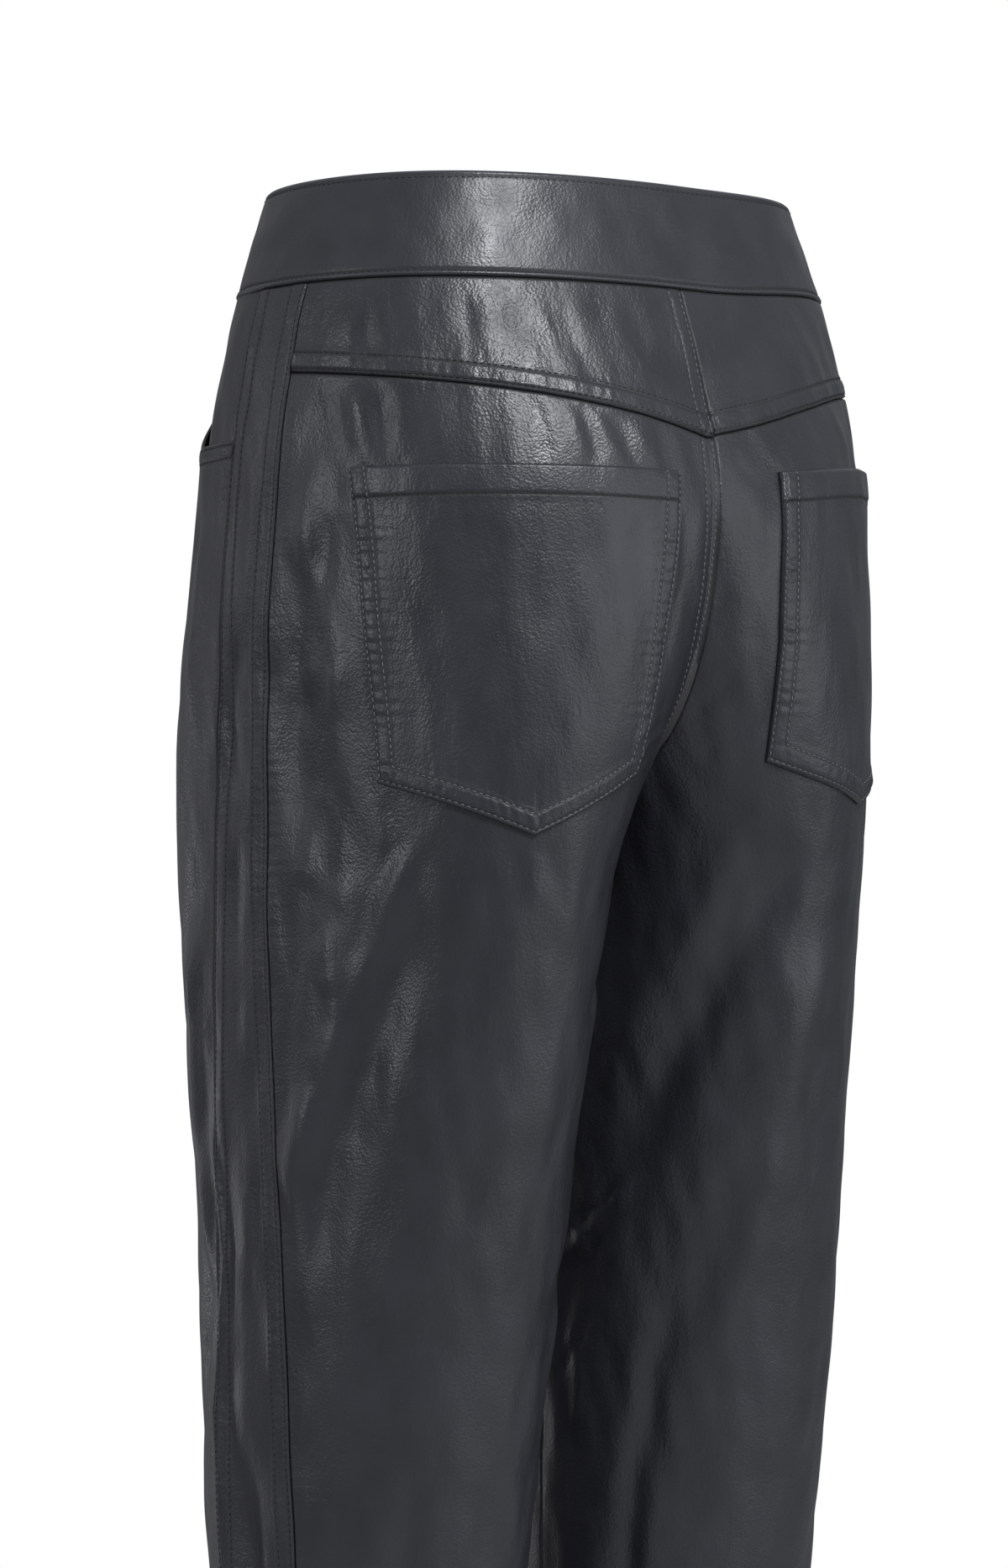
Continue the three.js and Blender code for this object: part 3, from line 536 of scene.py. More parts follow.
def leatherMaterial(name, look, tint=1, matt=0):
    material, nodes, links, surface = makeNodes(name)
    place = nodes.new('ShaderNodeTexCoord')

    def stretched(height):  # places squeezed up and down, so that a pattern there is drawn out along the leg
        squeeze = nodes.new('ShaderNodeMapping')
        squeeze.inputs['Scale'].default_value = (1, 1, height)
        links.new(place.outputs['Object'], squeeze.inputs['Vector'])
        return squeeze.outputs['Vector']

    def noise(size, detail, vector):
        node = nodes.new('ShaderNodeTexNoise')
        node.inputs['Scale'].default_value = 1 / (size * mm)
        node.inputs['Detail'].default_value = detail
        links.new(vector, node.inputs['Vector'])
        return node

    def bump(height, heightMm, below=None):
        node = nodes.new('ShaderNodeBump')
        node.inputs['Distance'].default_value = heightMm * mm
        links.new(height, node.inputs['Height'])
        if below:
            links.new(below.outputs['Normal'], node.inputs['Normal'])
        return node

    cloudy = noise(38, 3, place.outputs['Object'])
    tone = nodes.new('ShaderNodeValToRGB')
    tone.color_ramp.elements[0].position, tone.color_ramp.elements[1].position = .3, .72
    tone.color_ramp.elements[0].color = [c * tint for c in look['dark'][:3]] + [1]
    tone.color_ramp.elements[1].color = [c * tint for c in look['light'][:3]] + [1]
    links.new(cloudy.outputs['Fac'], tone.inputs['Fac'])
    # The marks attribute: above nought it mixes in pale wear, below nought the 'sunk' colour as painted shade.
    wearAndShade = nodes.new('ShaderNodeAttribute')
    wearAndShade.attribute_name = 'wearAndShade'
    worn = nodes.new('ShaderNodeMix')
    worn.data_type = 'RGBA'
    worn.inputs['B'].default_value = look['worn']
    links.new(wearAndShade.outputs['Fac'], worn.inputs['Factor'])
    links.new(tone.outputs['Color'], worn.inputs['A'])
    # Painted shade: the attribute's negative part darkens the colour towards 'sunk' and, further down, raises the
    # roughness.
    shadeShare, shadedColour = nodes.new('ShaderNodeMath'), nodes.new('ShaderNodeMix')
    shadeShare.operation, shadedColour.data_type = 'MULTIPLY', 'RGBA'
    shadeShare.inputs[1].default_value = -1
    shadedColour.inputs['B'].default_value = look['sunk']
    links.new(wearAndShade.outputs['Fac'], shadeShare.inputs[0])
    links.new(shadeShare.outputs['Value'], shadedColour.inputs['Factor'])
    links.new(worn.outputs['Result'], shadedColour.inputs['A'])
    links.new(shadedColour.outputs['Result'], surface.inputs['Base Color'])

    patchy = noise(14, 4, stretched(.5))
    shine = nodes.new('ShaderNodeMapRange')
    shine.inputs['From Min'].default_value, shine.inputs['From Max'].default_value = .3, .7
    shine.inputs['To Min'].default_value = look['shine'][0] + matt
    shine.inputs['To Max'].default_value = look['shine'][1] + matt
    links.new(patchy.outputs['Fac'], shine.inputs['Value'])
    dull = nodes.new('ShaderNodeMix')
    dull.inputs['B'].default_value = .85
    links.new(shadeShare.outputs['Value'], dull.inputs['Factor'])
    links.new(shine.outputs['Result'], dull.inputs['A'])
    links.new(dull.outputs['Result'], surface.inputs['Roughness'])

    wander = noise(6, 2, place.outputs['Object'])
    bent = nodes.new('ShaderNodeMix')
    bent.data_type = 'VECTOR'
    bent.inputs['Factor'].default_value = .0012
    links.new(place.outputs['Object'], bent.inputs['A'])
    links.new(wander.outputs['Color'], bent.inputs['B'])
    pebble = nodes.new('ShaderNodeTexVoronoi')
    pebble.feature = 'SMOOTH_F1'
    pebble.inputs['Scale'].default_value = 1 / (look['grainMm'] * mm)
    pebble.inputs['Smoothness'].default_value = .25
    links.new(bent.outputs['Result'], pebble.inputs['Vector'])
    crease = noise(look['creaseMm'], 3, stretched(.55))
    streak = noise(look['streakMm'], 2.5, stretched(.38))
    low = bump(crease.outputs['Fac'], look['creaseHeightMm'])
    middle = bump(streak.outputs['Fac'], look['streakHeightMm'], low)
    grain = bump(pebble.outputs['Distance'], look['grainHeightMm'], middle)
    grain.invert = True
    links.new(grain.outputs['Normal'], surface.inputs['Normal'])
    surface.inputs['Specular IOR Level'].default_value = look['shineLevel']
    return material


def plainMaterial(name, colour, rough, metal=0, grainMm=.4, grainHeightMm=.02):
    material, nodes, links, surface = makeNodes(name)
    place = nodes.new('ShaderNodeTexCoord')
    speckle = nodes.new('ShaderNodeTexNoise')
    speckle.inputs['Scale'].default_value = 1 / (grainMm * mm)
    speckle.inputs['Detail'].default_value = 2
    links.new(place.outputs['Object'], speckle.inputs['Vector'])
    tone = nodes.new('ShaderNodeValToRGB')
    tone.color_ramp.elements[0].color = [c * .75 for c in colour] + [1]
    tone.color_ramp.elements[1].color = [min(1, c * 1.2) for c in colour] + [1]
    links.new(speckle.outputs['Fac'], tone.inputs['Fac'])
    links.new(tone.outputs['Color'], surface.inputs['Base Color'])
    bump = nodes.new('ShaderNodeBump')
    bump.inputs['Distance'].default_value = grainHeightMm * mm
    links.new(speckle.outputs['Fac'], bump.inputs['Height'])
    links.new(bump.outputs['Normal'], surface.inputs['Normal'])
    surface.inputs['Roughness'].default_value = rough
    surface.inputs['Metallic'].default_value = metal
    return material


bodyLeather = leatherMaterial('bodyLeather', leatherLook)
trimLeather = leatherMaterial('trimLeather', leatherLook, tint=1.06)
bandLeather = leatherMaterial('bandLeather', bandLook, tint=1.06)
insideLeather = plainMaterial('fleshSide', (.05, .05, .052), .85, grainMm=.6, grainHeightMm=.08)
# One charcoal thread in two copies: the light one is painted as lit, for rows that catch the light, the dark one is
# painted in shade, for rows in grooves.
shadedThread = plainMaterial('shadedThread', (.012, .013, .016), .6)
litThread = plainMaterial('litThread', (.13, .137, .15), .5)
gunMetal = plainMaterial('gunMetal', (.3, .3, .31), .3, metal=1, grainMm=.8, grainHeightMm=.01)
zipTape = plainMaterial('zipTape', (.02, .02, .022), .8, grainMm=.5, grainHeightMm=.06)
print('materials made')


# Seams: the piece on top has a folded, stitched edge, and the one beneath runs on under it.
# For each kind of seam: its stitch rows from the folded edge, how high it is filled, how far its
# edge rolls down, how deep the thread pulls in and puckers the leather, and how much shade is painted along its thread
# rows.
seams = {
    'yoke': {'rows': [1.6, 9.4], 'puff': .9, 'drop': .7, 'groove': .65, 'pucker': .3, 'rowShade': .8},
    'side': {'rows': [1.6, 9], 'puff': .55, 'drop': .5, 'groove': .32, 'pucker': .16, 'rowShade': .5},
    'centre': {'rows': [1.2, 7.2], 'puff': .2, 'drop': .4, 'groove': .35, 'pucker': .14, 'rowShade': .6},
    'patch': {'rows': [1.8, 9], 'puff': .85, 'drop': .95, 'groove': .65, 'pucker': .42, 'rowShade': .8},
    'mouthHem': {'rows': [14], 'puff': .8, 'drop': .95, 'groove': .75, 'pucker': .2, 'rowShade': .8},
    'scoop': {'rows': [1.8, 8], 'puff': .6, 'drop': .6, 'groove': .55, 'pucker': .2, 'rowShade': .7},
}
puckerLook = {'spacing': 5.6, 'under': .18}
edgeColumns = [0, .25, .6, 1, 1.5, 2, 2.6, 3.4, 4.4, 5.5, 6.6, 7.6, 8.4, 9, 9.6, 10.4, 11.6, 13.5, 16]
underColumns = [-4.5, -3, -1.6, -.8, -.3, 0, .4, .8, 1.3, 2, 3, 4.5, 6.5, 9, 12, 16]


def puckers(along, seed):
    dice = np.random.default_rng(seed)
    total = np.zeros(along.shape)
    for share in (.83, 1, 1.19):
        total += np.sin(along * 2 * math.pi / (puckerLook['spacing'] * share) + dice.random() * 6.28)
    return total / 2.2


def topEdge(kind, distance, along, seed):
    look = seams[kind]
    first, last = look['rows'][0], look['rows'][-1]
    lift = look['puff'] * (1 - smoothStep(distance, last - .2, last + 2))
    lift = lift - (look['drop'] + look['puff']) * (1 - smoothStep(distance, -.15, .8 + look['drop'] / 3))
    for row in look['rows']:
        lift = lift - look['groove'] * np.exp(-((distance - row) / .65) ** 2)
    middle = (first + last) / 2
    between = smoothStep(distance, first, middle) * (1 - smoothStep(distance, middle, last)) if last > first else 0
    beyond = smoothStep(distance, last, last + 2) * np.exp(-np.maximum(distance - last - 2, 0) / 5)
    return lift + puckers(along, seed) * look['pucker'] * (between * 1.3 + beyond * .5)


def underEdge(distance, along, seed):
    sunk = -leatherWall['under'] * (1 - smoothStep(distance, -.3, 1.2))
    return sunk + puckers(along, seed) * puckerLook['under'] * smoothStep(distance, 0, 2) * np.exp(-np.maximum(distance, 0) / 7)


def edgeWearAndShade(kind, distance):  # pale wear on a folded edge, and painted shade in its corner and along its thread rows
    mark = .3 * np.exp(-((distance - .6) / .5) ** 2) - .9 * (1 - smoothStep(distance, 0, .35))
    for row in seams[kind]['rows']:
        mark = mark - seams[kind]['rowShade'] * np.exp(-((distance - row) / .7) ** 2)
    return mark


def underEdgeShade(distance):  # painted shadow beside the edge that lies on top
    return -.8 * (1 - smoothStep(distance, .2, 1.7))


def spacedColumns(start, end, middle):  # each column is a + b * length from the first seam
    a0, a1 = start[-1], end[-1]
    share = np.linspace(0, 1, middle + 2)[1:-1]
    a = np.concatenate([start, a0 * (1 - share) - a1 * share, [-d for d in end[::-1]]])
    b = np.concatenate([np.zeros(len(start)), share, np.ones(len(end))])
    return a, b


def levels(*stops):  # heights from (from, to, spacing) runs, each without its last
    found = []
    for top, bottom, spacing in stops:
        count = max(1, round(abs(top - bottom) / spacing))
        found += list(np.linspace(top, bottom, count, endpoint=False))
    return found + [stops[-1][1]]


hemLevels = [-968, -971, -973, -974.2, -975, -975.8, -977, -980, -985, -990, -994, -997, -998.6, -999.6, -1000]


def hemRelief(z):
    turned = .35 * smoothStep(-z, 968, 971) - .3 * np.exp(-((z + 975) / .7) ** 2)
    return turned - .7 * smoothStep(-z, 998.4, 1000)


def crowd(z, span=46):  # rows gather near the crotch where the centre seams turn under
    w = (z - crotch) / span
    return np.where(np.abs(w) < 1, crotch + span * np.sign(w) * np.abs(w) ** np.where(w > 0, 1.8, 1.25), z)


def withoutLap(fromEdge, lap, reach, z, regrow=False):  # takes the lap over the centre away at the crotch
    level = (fromEdge + lap) / (reach + lap) * reach
    gone = smoothStep(-z, -crotch - 16, -crotch - 3)
    if regrow:
        gone = gone * (1 - smoothStep(-z, -crotch + 5, -crotch + 26))
    return mix(fromEdge, np.where(fromEdge < reach, level, fromEdge), gone)


def yokeSeam(share):
    return heights['yokeAtSide'] - heights['yokeSlope'] * share - heights['yokePoint'] * share ** 4


def lapOfCentre(z):  # how far the left half laps over the right at the centre back
    return np.interp(z, [-300, -200, -150, -118, -50], [1.5, 2.6, 3.2, 4.2, 1.4])


def seamLine(angles, side):  # the worn surface at a seam, one point a knot
    z = knots
    base, normal = ring(angles, z), ringNormal(angles, z)
    lift = foldHeight(side, angles, z, np.where(z > heights['legTop'], base[:, 0], 16))
    return (base + normal * lift[:, None]) * [side, 1, 1]


def trueDistance(points, line):
    dense = np.concatenate([mix(line[:-1], line[1:], s) for s in (0, .25, .5, .75)])
    order = np.argsort(np.concatenate([np.arange(len(line) - 1) + s for s in (0, .25, .5, .75)]))
    dense = dense[order]
    run = np.concatenate([[0], np.cumsum(np.linalg.norm(np.diff(dense, axis=0), axis=1))])
    keep = np.unique(np.searchsorted(run, np.arange(0, run[-1], .6)).clip(0, len(run) - 1))
    tree = KDTree(len(keep))
    for i, k in enumerate(keep):
        tree.insert(dense[k], i)
    tree.balance()
    found = [tree.find(p)[1:] for p in points.reshape(-1, 3)]
    away = np.array([f[1] for f in found]).reshape(points.shape[:-1])
    along = run[keep[np.array([f[0] for f in found])]].reshape(points.shape[:-1])
    return away, along


centreLine = {'back': seamLine(backEnds, 1), 'front': seamLine(frontEnds, 1)}


def finishPanel(name, side, chart, distance, z, lift, sunk, materials, marks, thick, spacing=(7, 5.5), rough=1):
    outside = skin(side, chart, distance, z, lift, rough)
    middle = distance.shape[0] // 2
    columnPicks = pickEvery(distance[middle], spacing[1])
    rowPicks = pickEvery(z[:, distance.shape[1] // 2], spacing[0])
    pick = np.ix_(rowPicks, columnPicks)
    inside = skin(side, chart, distance[pick], z[pick], (sunk - thick)[pick], rough)
    return clothMesh(name, outside, inside, rowPicks, columnPicks, side, materials, marks)


def centreFields(part, side, chart, distance, z):
    # distance from the centre seam, with what has crossed it counted below nought, and the way along it
    points = skin(side, chart, distance, z, np.zeros(z.shape), 0)
    line = centreLine[part] * [side, 1, 1]
    near = (z > heights['legTop'] - 40)
    away = np.full(z.shape, 99.)
    along = np.zeros(z.shape)
    edge = chart.length(z) - distance if part == 'back' else distance
    look = near & (np.abs(edge) < 60)
    found, way = trueDistance(points[look], line)
    away[look], along[look] = found, way
    onLine = np.where(edge < 0, -1, 1)
    below = smoothStep(-z, -crotch + 2, -crotch + 14)
    away = mix(np.minimum(away, np.abs(edge)), np.abs(edge), below)
    return away * onLine, along, edge


def backPanel(side):
    hand = 'left' if side > 0 else 'right'
    chart = charts['back']
    lap = -5 if side > 0 else -8
    centre = [lap, lap * .6, -1.6, -.8, -.3, 0, .3, .7, 1.2, 1.8, 2.5, 3.2, 4, 4.8, 5.6, 6.6, 8, 10, 13, 17]
    columns = spacedColumns(underColumns, centre, 96)
    top = [5, 3.4, 2, 1, .4, 0, -.4, -.9, -1.6, -2.6, -4, -6, -8.5, -12, -16]
    under = levels((-155, -250, 1.9), (-250, -345, 1.15), (-345, -640, 2), (-640, -968, 3.4)) + hemLevels[1:]
    share = np.clip((columns[0] + columns[1] * 230) / 230, 0, 1)
    seam = yokeSeam(share)
    joined = 10
    blend = np.linspace(0, 1, joined + 1)[1:-1, None]
    z = np.concatenate([seam[None, :] + np.array(top)[:, None], mix(seam[None, :] - 16, under[0], blend), np.repeat(np.array(under)[:, None], len(seam), 1)])
    nearCentre = smoothStep(share, .62, .93)
    z = mix(z, crowd(z), nearCentre)
    length = chart.length(z)
    distance = length - withoutLap(length * (1 - columns[1]) - columns[0], -lap, centre[-1], z)
    away, along, edge = centreFields('back', side, chart, distance, z)
    fromYoke = seam[None, :] - z
    outseam = underEdge(distance, -z, 21 + side)
    yoke = underEdge(fromYoke, distance, 23 + side)
    if side > 0:
        shift = away + lapOfCentre(z)
        centreLift = topEdge('centre', shift, along, 25) * (1 - smoothStep(-z, -crotch - 4, -crotch + 6))
    else:
        centreLift = underEdge(away - lapOfCentre(z), along, 27)
    inseam = -.35 * (1 - smoothStep(edge, 0, 1.2)) * smoothStep(-z, -crotch, -crotch + 12)
    centreLift = centreLift * (1 - smoothStep(-z, -crotch, -crotch + 10)) + inseam
    sunk = -leatherWall['under'] * np.maximum(1 - smoothStep(distance, -.3, 1.2), 1 - smoothStep(fromYoke, -.3, 1.2))
    if side < 0:
        sunk = np.minimum(sunk, -leatherWall['under'] * (1 - smoothStep(away - lapOfCentre(z), -.3, 1.2)) * (1 - smoothStep(-z, -crotch, -crotch + 10)))
    lift = np.minimum(outseam, yoke) + np.where((outseam < -.05) & (yoke < -.05), 0, np.maximum(outseam, yoke).clip(-.3, .3)) + centreLift + hemRelief(z)
    thick = mix(leatherWall['body'], leatherWall['hem'], smoothStep(-z, 964, 970))
    # Painted shadow beside the side strip's and yoke's edges, pale wear at the hem's fold, and at the centre seam wear
    # with painted shade (left) or painted shadow beside the lap (right).
    marks = np.minimum(underEdgeShade(distance), underEdgeShade(fromYoke)) + .3 * smoothStep(-z, 998.5, 1000)
    if side > 0:
        marks = marks + edgeWearAndShade('centre', shift) * (1 - smoothStep(-z, -crotch - 4, -crotch + 6))
    else:
        marks = np.minimum(marks, underEdgeShade(away - lapOfCentre(z)) * (1 - smoothStep(-z, -crotch, -crotch + 10)))
    return finishPanel(f'back_panel_{hand}', side, chart, distance, z, lift, sunk, [bodyLeather, insideLeather], marks, thick)


def yoke(side):
    hand = 'left' if side > 0 else 'right'
    chart = charts['back']
    centre = [-d for d in (4.4, 3.6)] + [-3, -2.4, -1.8, -1.2, -.6, 0, .6, 1.2, 1.8, 2.4, 3, 3.6, 4.2, 4.8, 5.6, 6.6, 8, 10, 13, 17]
    if side < 0:
        centre = [-8, -5, -2, 0, 1, 1.6, 2.2, 2.8, 3.4, 4, 4.6, 5.2, 5.8, 6.6, 8, 10, 13, 17]
    columns = spacedColumns(underColumns, centre, 108)
    share = np.clip((columns[0] + columns[1] * 225) / 225, 0, 1)
    seam = yokeSeam(share)
    top = heights['bandBottom']
    upper = [5, 3.4, 2, 1, .4, 0, -.4, -.9, -1.6, -2.6, -4, -6]
    lower = edgeColumns[::-1]
    joined = 14
    blend = np.linspace(0, 1, joined + 1)[1:-1, None]
    z = np.concatenate([
        top + np.repeat(np.array(upper)[:, None], len(seam), 1),
        mix(top - 6, seam[None, :] + 16, blend),
        seam[None, :] + np.array(lower)[:, None],
    ])
    distance = columns[0] + columns[1] * chart.length(z)
    edge = chart.length(z) - distance
    fromSeam = z - seam[None, :]
    band = underEdge(top - z, distance, 31 + side)
    outseam = underEdge(distance, -z, 21 + side)
    bottom = topEdge('yoke', fromSeam, distance, 33 + side)
    lap = lapOfCentre(z)
    if side > 0:
        edge = np.maximum(edge, -lap)
        distance = chart.length(z) - edge
        centreLift = topEdge('centre', edge + lap, -z, 35)
    else:
        centreLift = underEdge(edge - lap, -z, 37)
    sunk = -leatherWall['under'] * np.maximum(1 - smoothStep(distance, -.3, 1.2), 1 - smoothStep(top - z, -.3, 1.2))
    if side < 0:
        sunk = np.minimum(sunk, -leatherWall['under'] * (1 - smoothStep(edge - lap, -.3, 1.2)))
    lift = np.minimum(band, outseam) + bottom + centreLift
    # Pale wear with painted shade along the yoke's folded edge and thread rows, painted shadow under the band and strip
    # edges, and the same at the centre seam.
    marks = edgeWearAndShade('yoke', fromSeam) + np.minimum(underEdgeShade(top - z), underEdgeShade(distance))
    marks = marks + (edgeWearAndShade('centre', edge + lap) if side > 0 else underEdgeShade(edge - lap))
    thick = np.full(z.shape, leatherWall['body'])
    return finishPanel(f'yoke_{hand}', side, chart, distance, z, lift, sunk, [bodyLeather, insideLeather], marks, thick)


def sideStrip(side):
    hand = 'left' if side > 0 else 'right'
    chart = charts['strip']
    columns = spacedColumns(edgeColumns, edgeColumns, 6)
    top = heights['bandBottom']
    upper = [5, 3.4, 2, 1, .4, 0, -.4, -.9, -1.6, -2.6, -4, -6]
    rows = [top + t for t in upper] + levels((top - 8, -640, 1.9), (-640, -968, 3))[0:] + hemLevels[1:]
    z = np.repeat(np.array(rows)[:, None], len(columns[0]), 1)
    distance = columns[0] + columns[1] * chart.length(z)
    edge = chart.length(z) - distance
    band = underEdge(top - z, distance, 41 + side)
    lift = topEdge('side', distance, -z, 43 + side) + topEdge('side', edge, -z, 45 + side) + band + hemRelief(z)
    sunk = -leatherWall['under'] * (1 - smoothStep(top - z, -.3, 1.2))
    # Pale wear with painted shade along both folded edges and their thread rows, painted shadow under the band's edge,
    # and pale wear at the hem's fold.
    marks = edgeWearAndShade('side', distance) + edgeWearAndShade('side', edge) + underEdgeShade(top - z) + .35 * smoothStep(-z, 998.5, 1000)
    thick = mix(leatherWall['body'], leatherWall['hem'], smoothStep(-z, 964, 970))
    return finishPanel(f'side_panel_{hand}', side, chart, distance, z, lift, sunk, [bodyLeather, insideLeather], marks, thick)


scoop = {'angle': -58, 'full': .65, 'gape': 3.2, 'gapeDepth': 45, 'facingGape': 1.8}


def scoopTop(angle, last):  # height of the front panel's top edge, straight and then scooped
    share = np.clip((angle - scoop['angle']) / (last - scoop['angle']), 0, 1)
    down = np.minimum(share / scoop['full'], 1)
    return mix(heights['bandBottom'], heights['scoopBottom'], np.sin(down * math.pi / 2)), share


def frontPanel(side):
    hand = 'left' if side > 0 else 'right'
    chart = charts['front']
    lap = 4 if side < 0 else 6
    centre = [-lap, -lap * .6, -1.6, -.8, 0, .6, 1.2, 1.8, 2.6, 3.6, 5, 7, 9, 12, 16]
    columns = spacedColumns(centre, underColumns, 72)
    shareAtHip = np.clip((columns[0] + columns[1] * 175) / 175, 0, 1)
    level = np.full(len(columns[0]), -85.)
    angleAtHip = chart.angle(columns[0] * 0 + shareAtHip * chart.length(level), level)
    last = float(section['sideSeam'](-110.))
    top, share = scoopTop(angleAtHip, last)
    slope = np.gradient(top) / np.maximum(np.gradient(columns[0] + columns[1] * 175), .05)
    steep = np.hypot(1, slope) ** smoothStep(share, 0, .05)
    upper = np.array([5, 3.4, 2, 1, .4, 0, -.4, -.9, -1.6, -2.6, -4, -6, -8.5, -12, -16])
    downMouth = -np.array([0, .3, .7, 1.2, 1.8, 2.4, 3.4, 5, 6.4, 7.4, 8, 8.6, 9.6, 11.5, 14])
    fall = mix(upper[:, None], downMouth[:, None] * steep[None, :], smoothStep(share, 0, .12)[None, :])
    under = levels((-150, -250, 2.2), (-250, -345, 1.3), (-345, -640, 2.2), (-640, -968, 3.4)) + hemLevels[1:]
    joined = 34
    blend = np.linspace(0, 1, joined + 1)[1:-1, None]
    z = np.concatenate([top[None, :] + fall, mix((top + fall[-1])[None, :], under[0], blend), np.repeat(np.array(under)[:, None], len(top), 1)])
    nearCentre = 1 - smoothStep(shareAtHip, .07, .38)
    z = mix(z, crowd(z), nearCentre)
    distance = withoutLap(columns[0] + columns[1] * chart.length(z), lap, centre[-1], z, True)
    away, along, edge = centreFields('front', side, chart, distance, z)
    fromTop = (top[None, :] - z) / steep[None, :]
    toStrip = chart.length(z) - distance
    strip = underEdge(toStrip, -z, 43 + side)
    band = underEdge(fromTop, distance, 51 + side) * (1 - smoothStep(share, 0, .1))[None, :]
    mouth = topEdge('scoop', fromTop, distance, 53 + side) * smoothStep(share, .02, .12)[None, :]
    belly = np.sin(share * math.pi)[None, :] * (1 - smoothStep(fromTop, 0, scoop['gapeDepth'])) * scoop['gape']
    closedLeg = smoothStep(-z, -crotch, -crotch + 12)
    centreLift = (-.8 * (1 - smoothStep(away, 0, 1.2)) if side < 0 else underEdge(away, along, 55)) * (1 - closedLeg)
    inseam = underEdge(edge, -z, 57) * closedLeg
    lift = np.minimum(strip, band) + mouth + belly + centreLift + inseam + hemRelief(z)
    sunk = -leatherWall['under'] * np.maximum(1 - smoothStep(toStrip, -.3, 1.2), (1 - smoothStep(fromTop, -.3, 1.2)) * (1 - smoothStep(share, 0, .1))[None, :]) + belly
    sunk = sunk - leatherWall['under'] * (1 - smoothStep(edge, -.3, 1.2)) * closedLeg
    # Pale wear with painted shade along the scoop's folded edge and rows, painted shadow under the band and beside the
    # strip, and pale wear at the hem's fold.
    marks = mix(underEdgeShade(fromTop), edgeWearAndShade('scoop', fromTop), smoothStep(share, .02, .12)[None, :])
    marks = np.minimum(marks, underEdgeShade(toStrip)) + .35 * smoothStep(-z, 998.5, 1000)
    thick = mix(leatherWall['body'], leatherWall['hem'], smoothStep(-z, 964, 970))
    points = skin(side, chart, distance, z, lift)
    scooped = np.where(share[None, :] > .04, fromTop, 0)
    for level in seams['scoop']['rows']:
        line, _ = firstCrossing(scooped.T, points.transpose(1, 0, 2), level)
        threadRows.append((f'front_panel_{hand}', 'dark', line))
    return finishPanel(f'front_panel_{hand}', side, chart, distance, z, lift, sunk, [bodyLeather, insideLeather], marks, thick)


def hipFacing(side):
    hand = 'left' if side > 0 else 'right'
    chart = charts['front']
    z = np.repeat(np.array(levels((heights['bandBottom'] + 5, heights['facingBottom'], 2.2)))[:, None], 44, 1)
    length = chart.length(z)
    start = length * .36
    distance = mix(start, length + 4.5, np.linspace(0, 1, 44)[None, :])
    top, share = scoopTop(chart.angle(np.minimum(distance, length), z), section['sideSeam'](z))
    belly = np.sin(share * math.pi) * (1 - smoothStep(top - z, 0, scoop['gapeDepth'])) * scoop['facingGape']
    lift = belly - (leatherWall['body'] + .6) - .6 * (1 - smoothStep(length - distance, 0, 3))
    thick = np.full(z.shape, leatherWall['body'])
    return finishPanel(f'front_pocket_facing_{hand}', side, chart, distance, z, lift, lift, [bodyLeather, insideLeather], None, thick)


patch = {
    'gape': 2.4, 'gapeDepth': 42, 'wall': 1.2, 'off': .45, 'filled': .15,
    'left': {'mouth': -138.5, 'outer': -282, 'tip': -306.5, 'inner': -277},
    'right': {'mouth': -136, 'outer': -271, 'tip': -293.5, 'inner': -269.5},
}


def pocketAngle(hand, u, z):
    at = {part: np.interp(z, pocketTable['z'], pocketTable[f'{hand}{part}']) for part in ('Outer', 'Tip', 'Inner')}
    return np.where(u < .625, mix(at['Outer'], at['Tip'], u / .625), mix(at['Tip'], at['Inner'], (u - .625) / .375))


def bodyPoint(side, angle, z, lift, rough=1):
    base, normal = ring(angle, z), ringNormal(angle, z)
    waves = softWaves(base * [side, 1, 1], crumple['seed'], crumple['waves'], crumple['short'], crumple['long'])
    calm = smoothStep(-z, 45, 75)
    out = foldHeight(side, angle, z, base[..., 0]) + waves * crumple['size'] * rough * calm + lift
    points = base + normal * out[..., None]
    points[..., 2] = wornHeight(side < 0, base[..., 0], z)
    points[..., 0] = np.maximum(points[..., 0], halfGap) * side
    return points


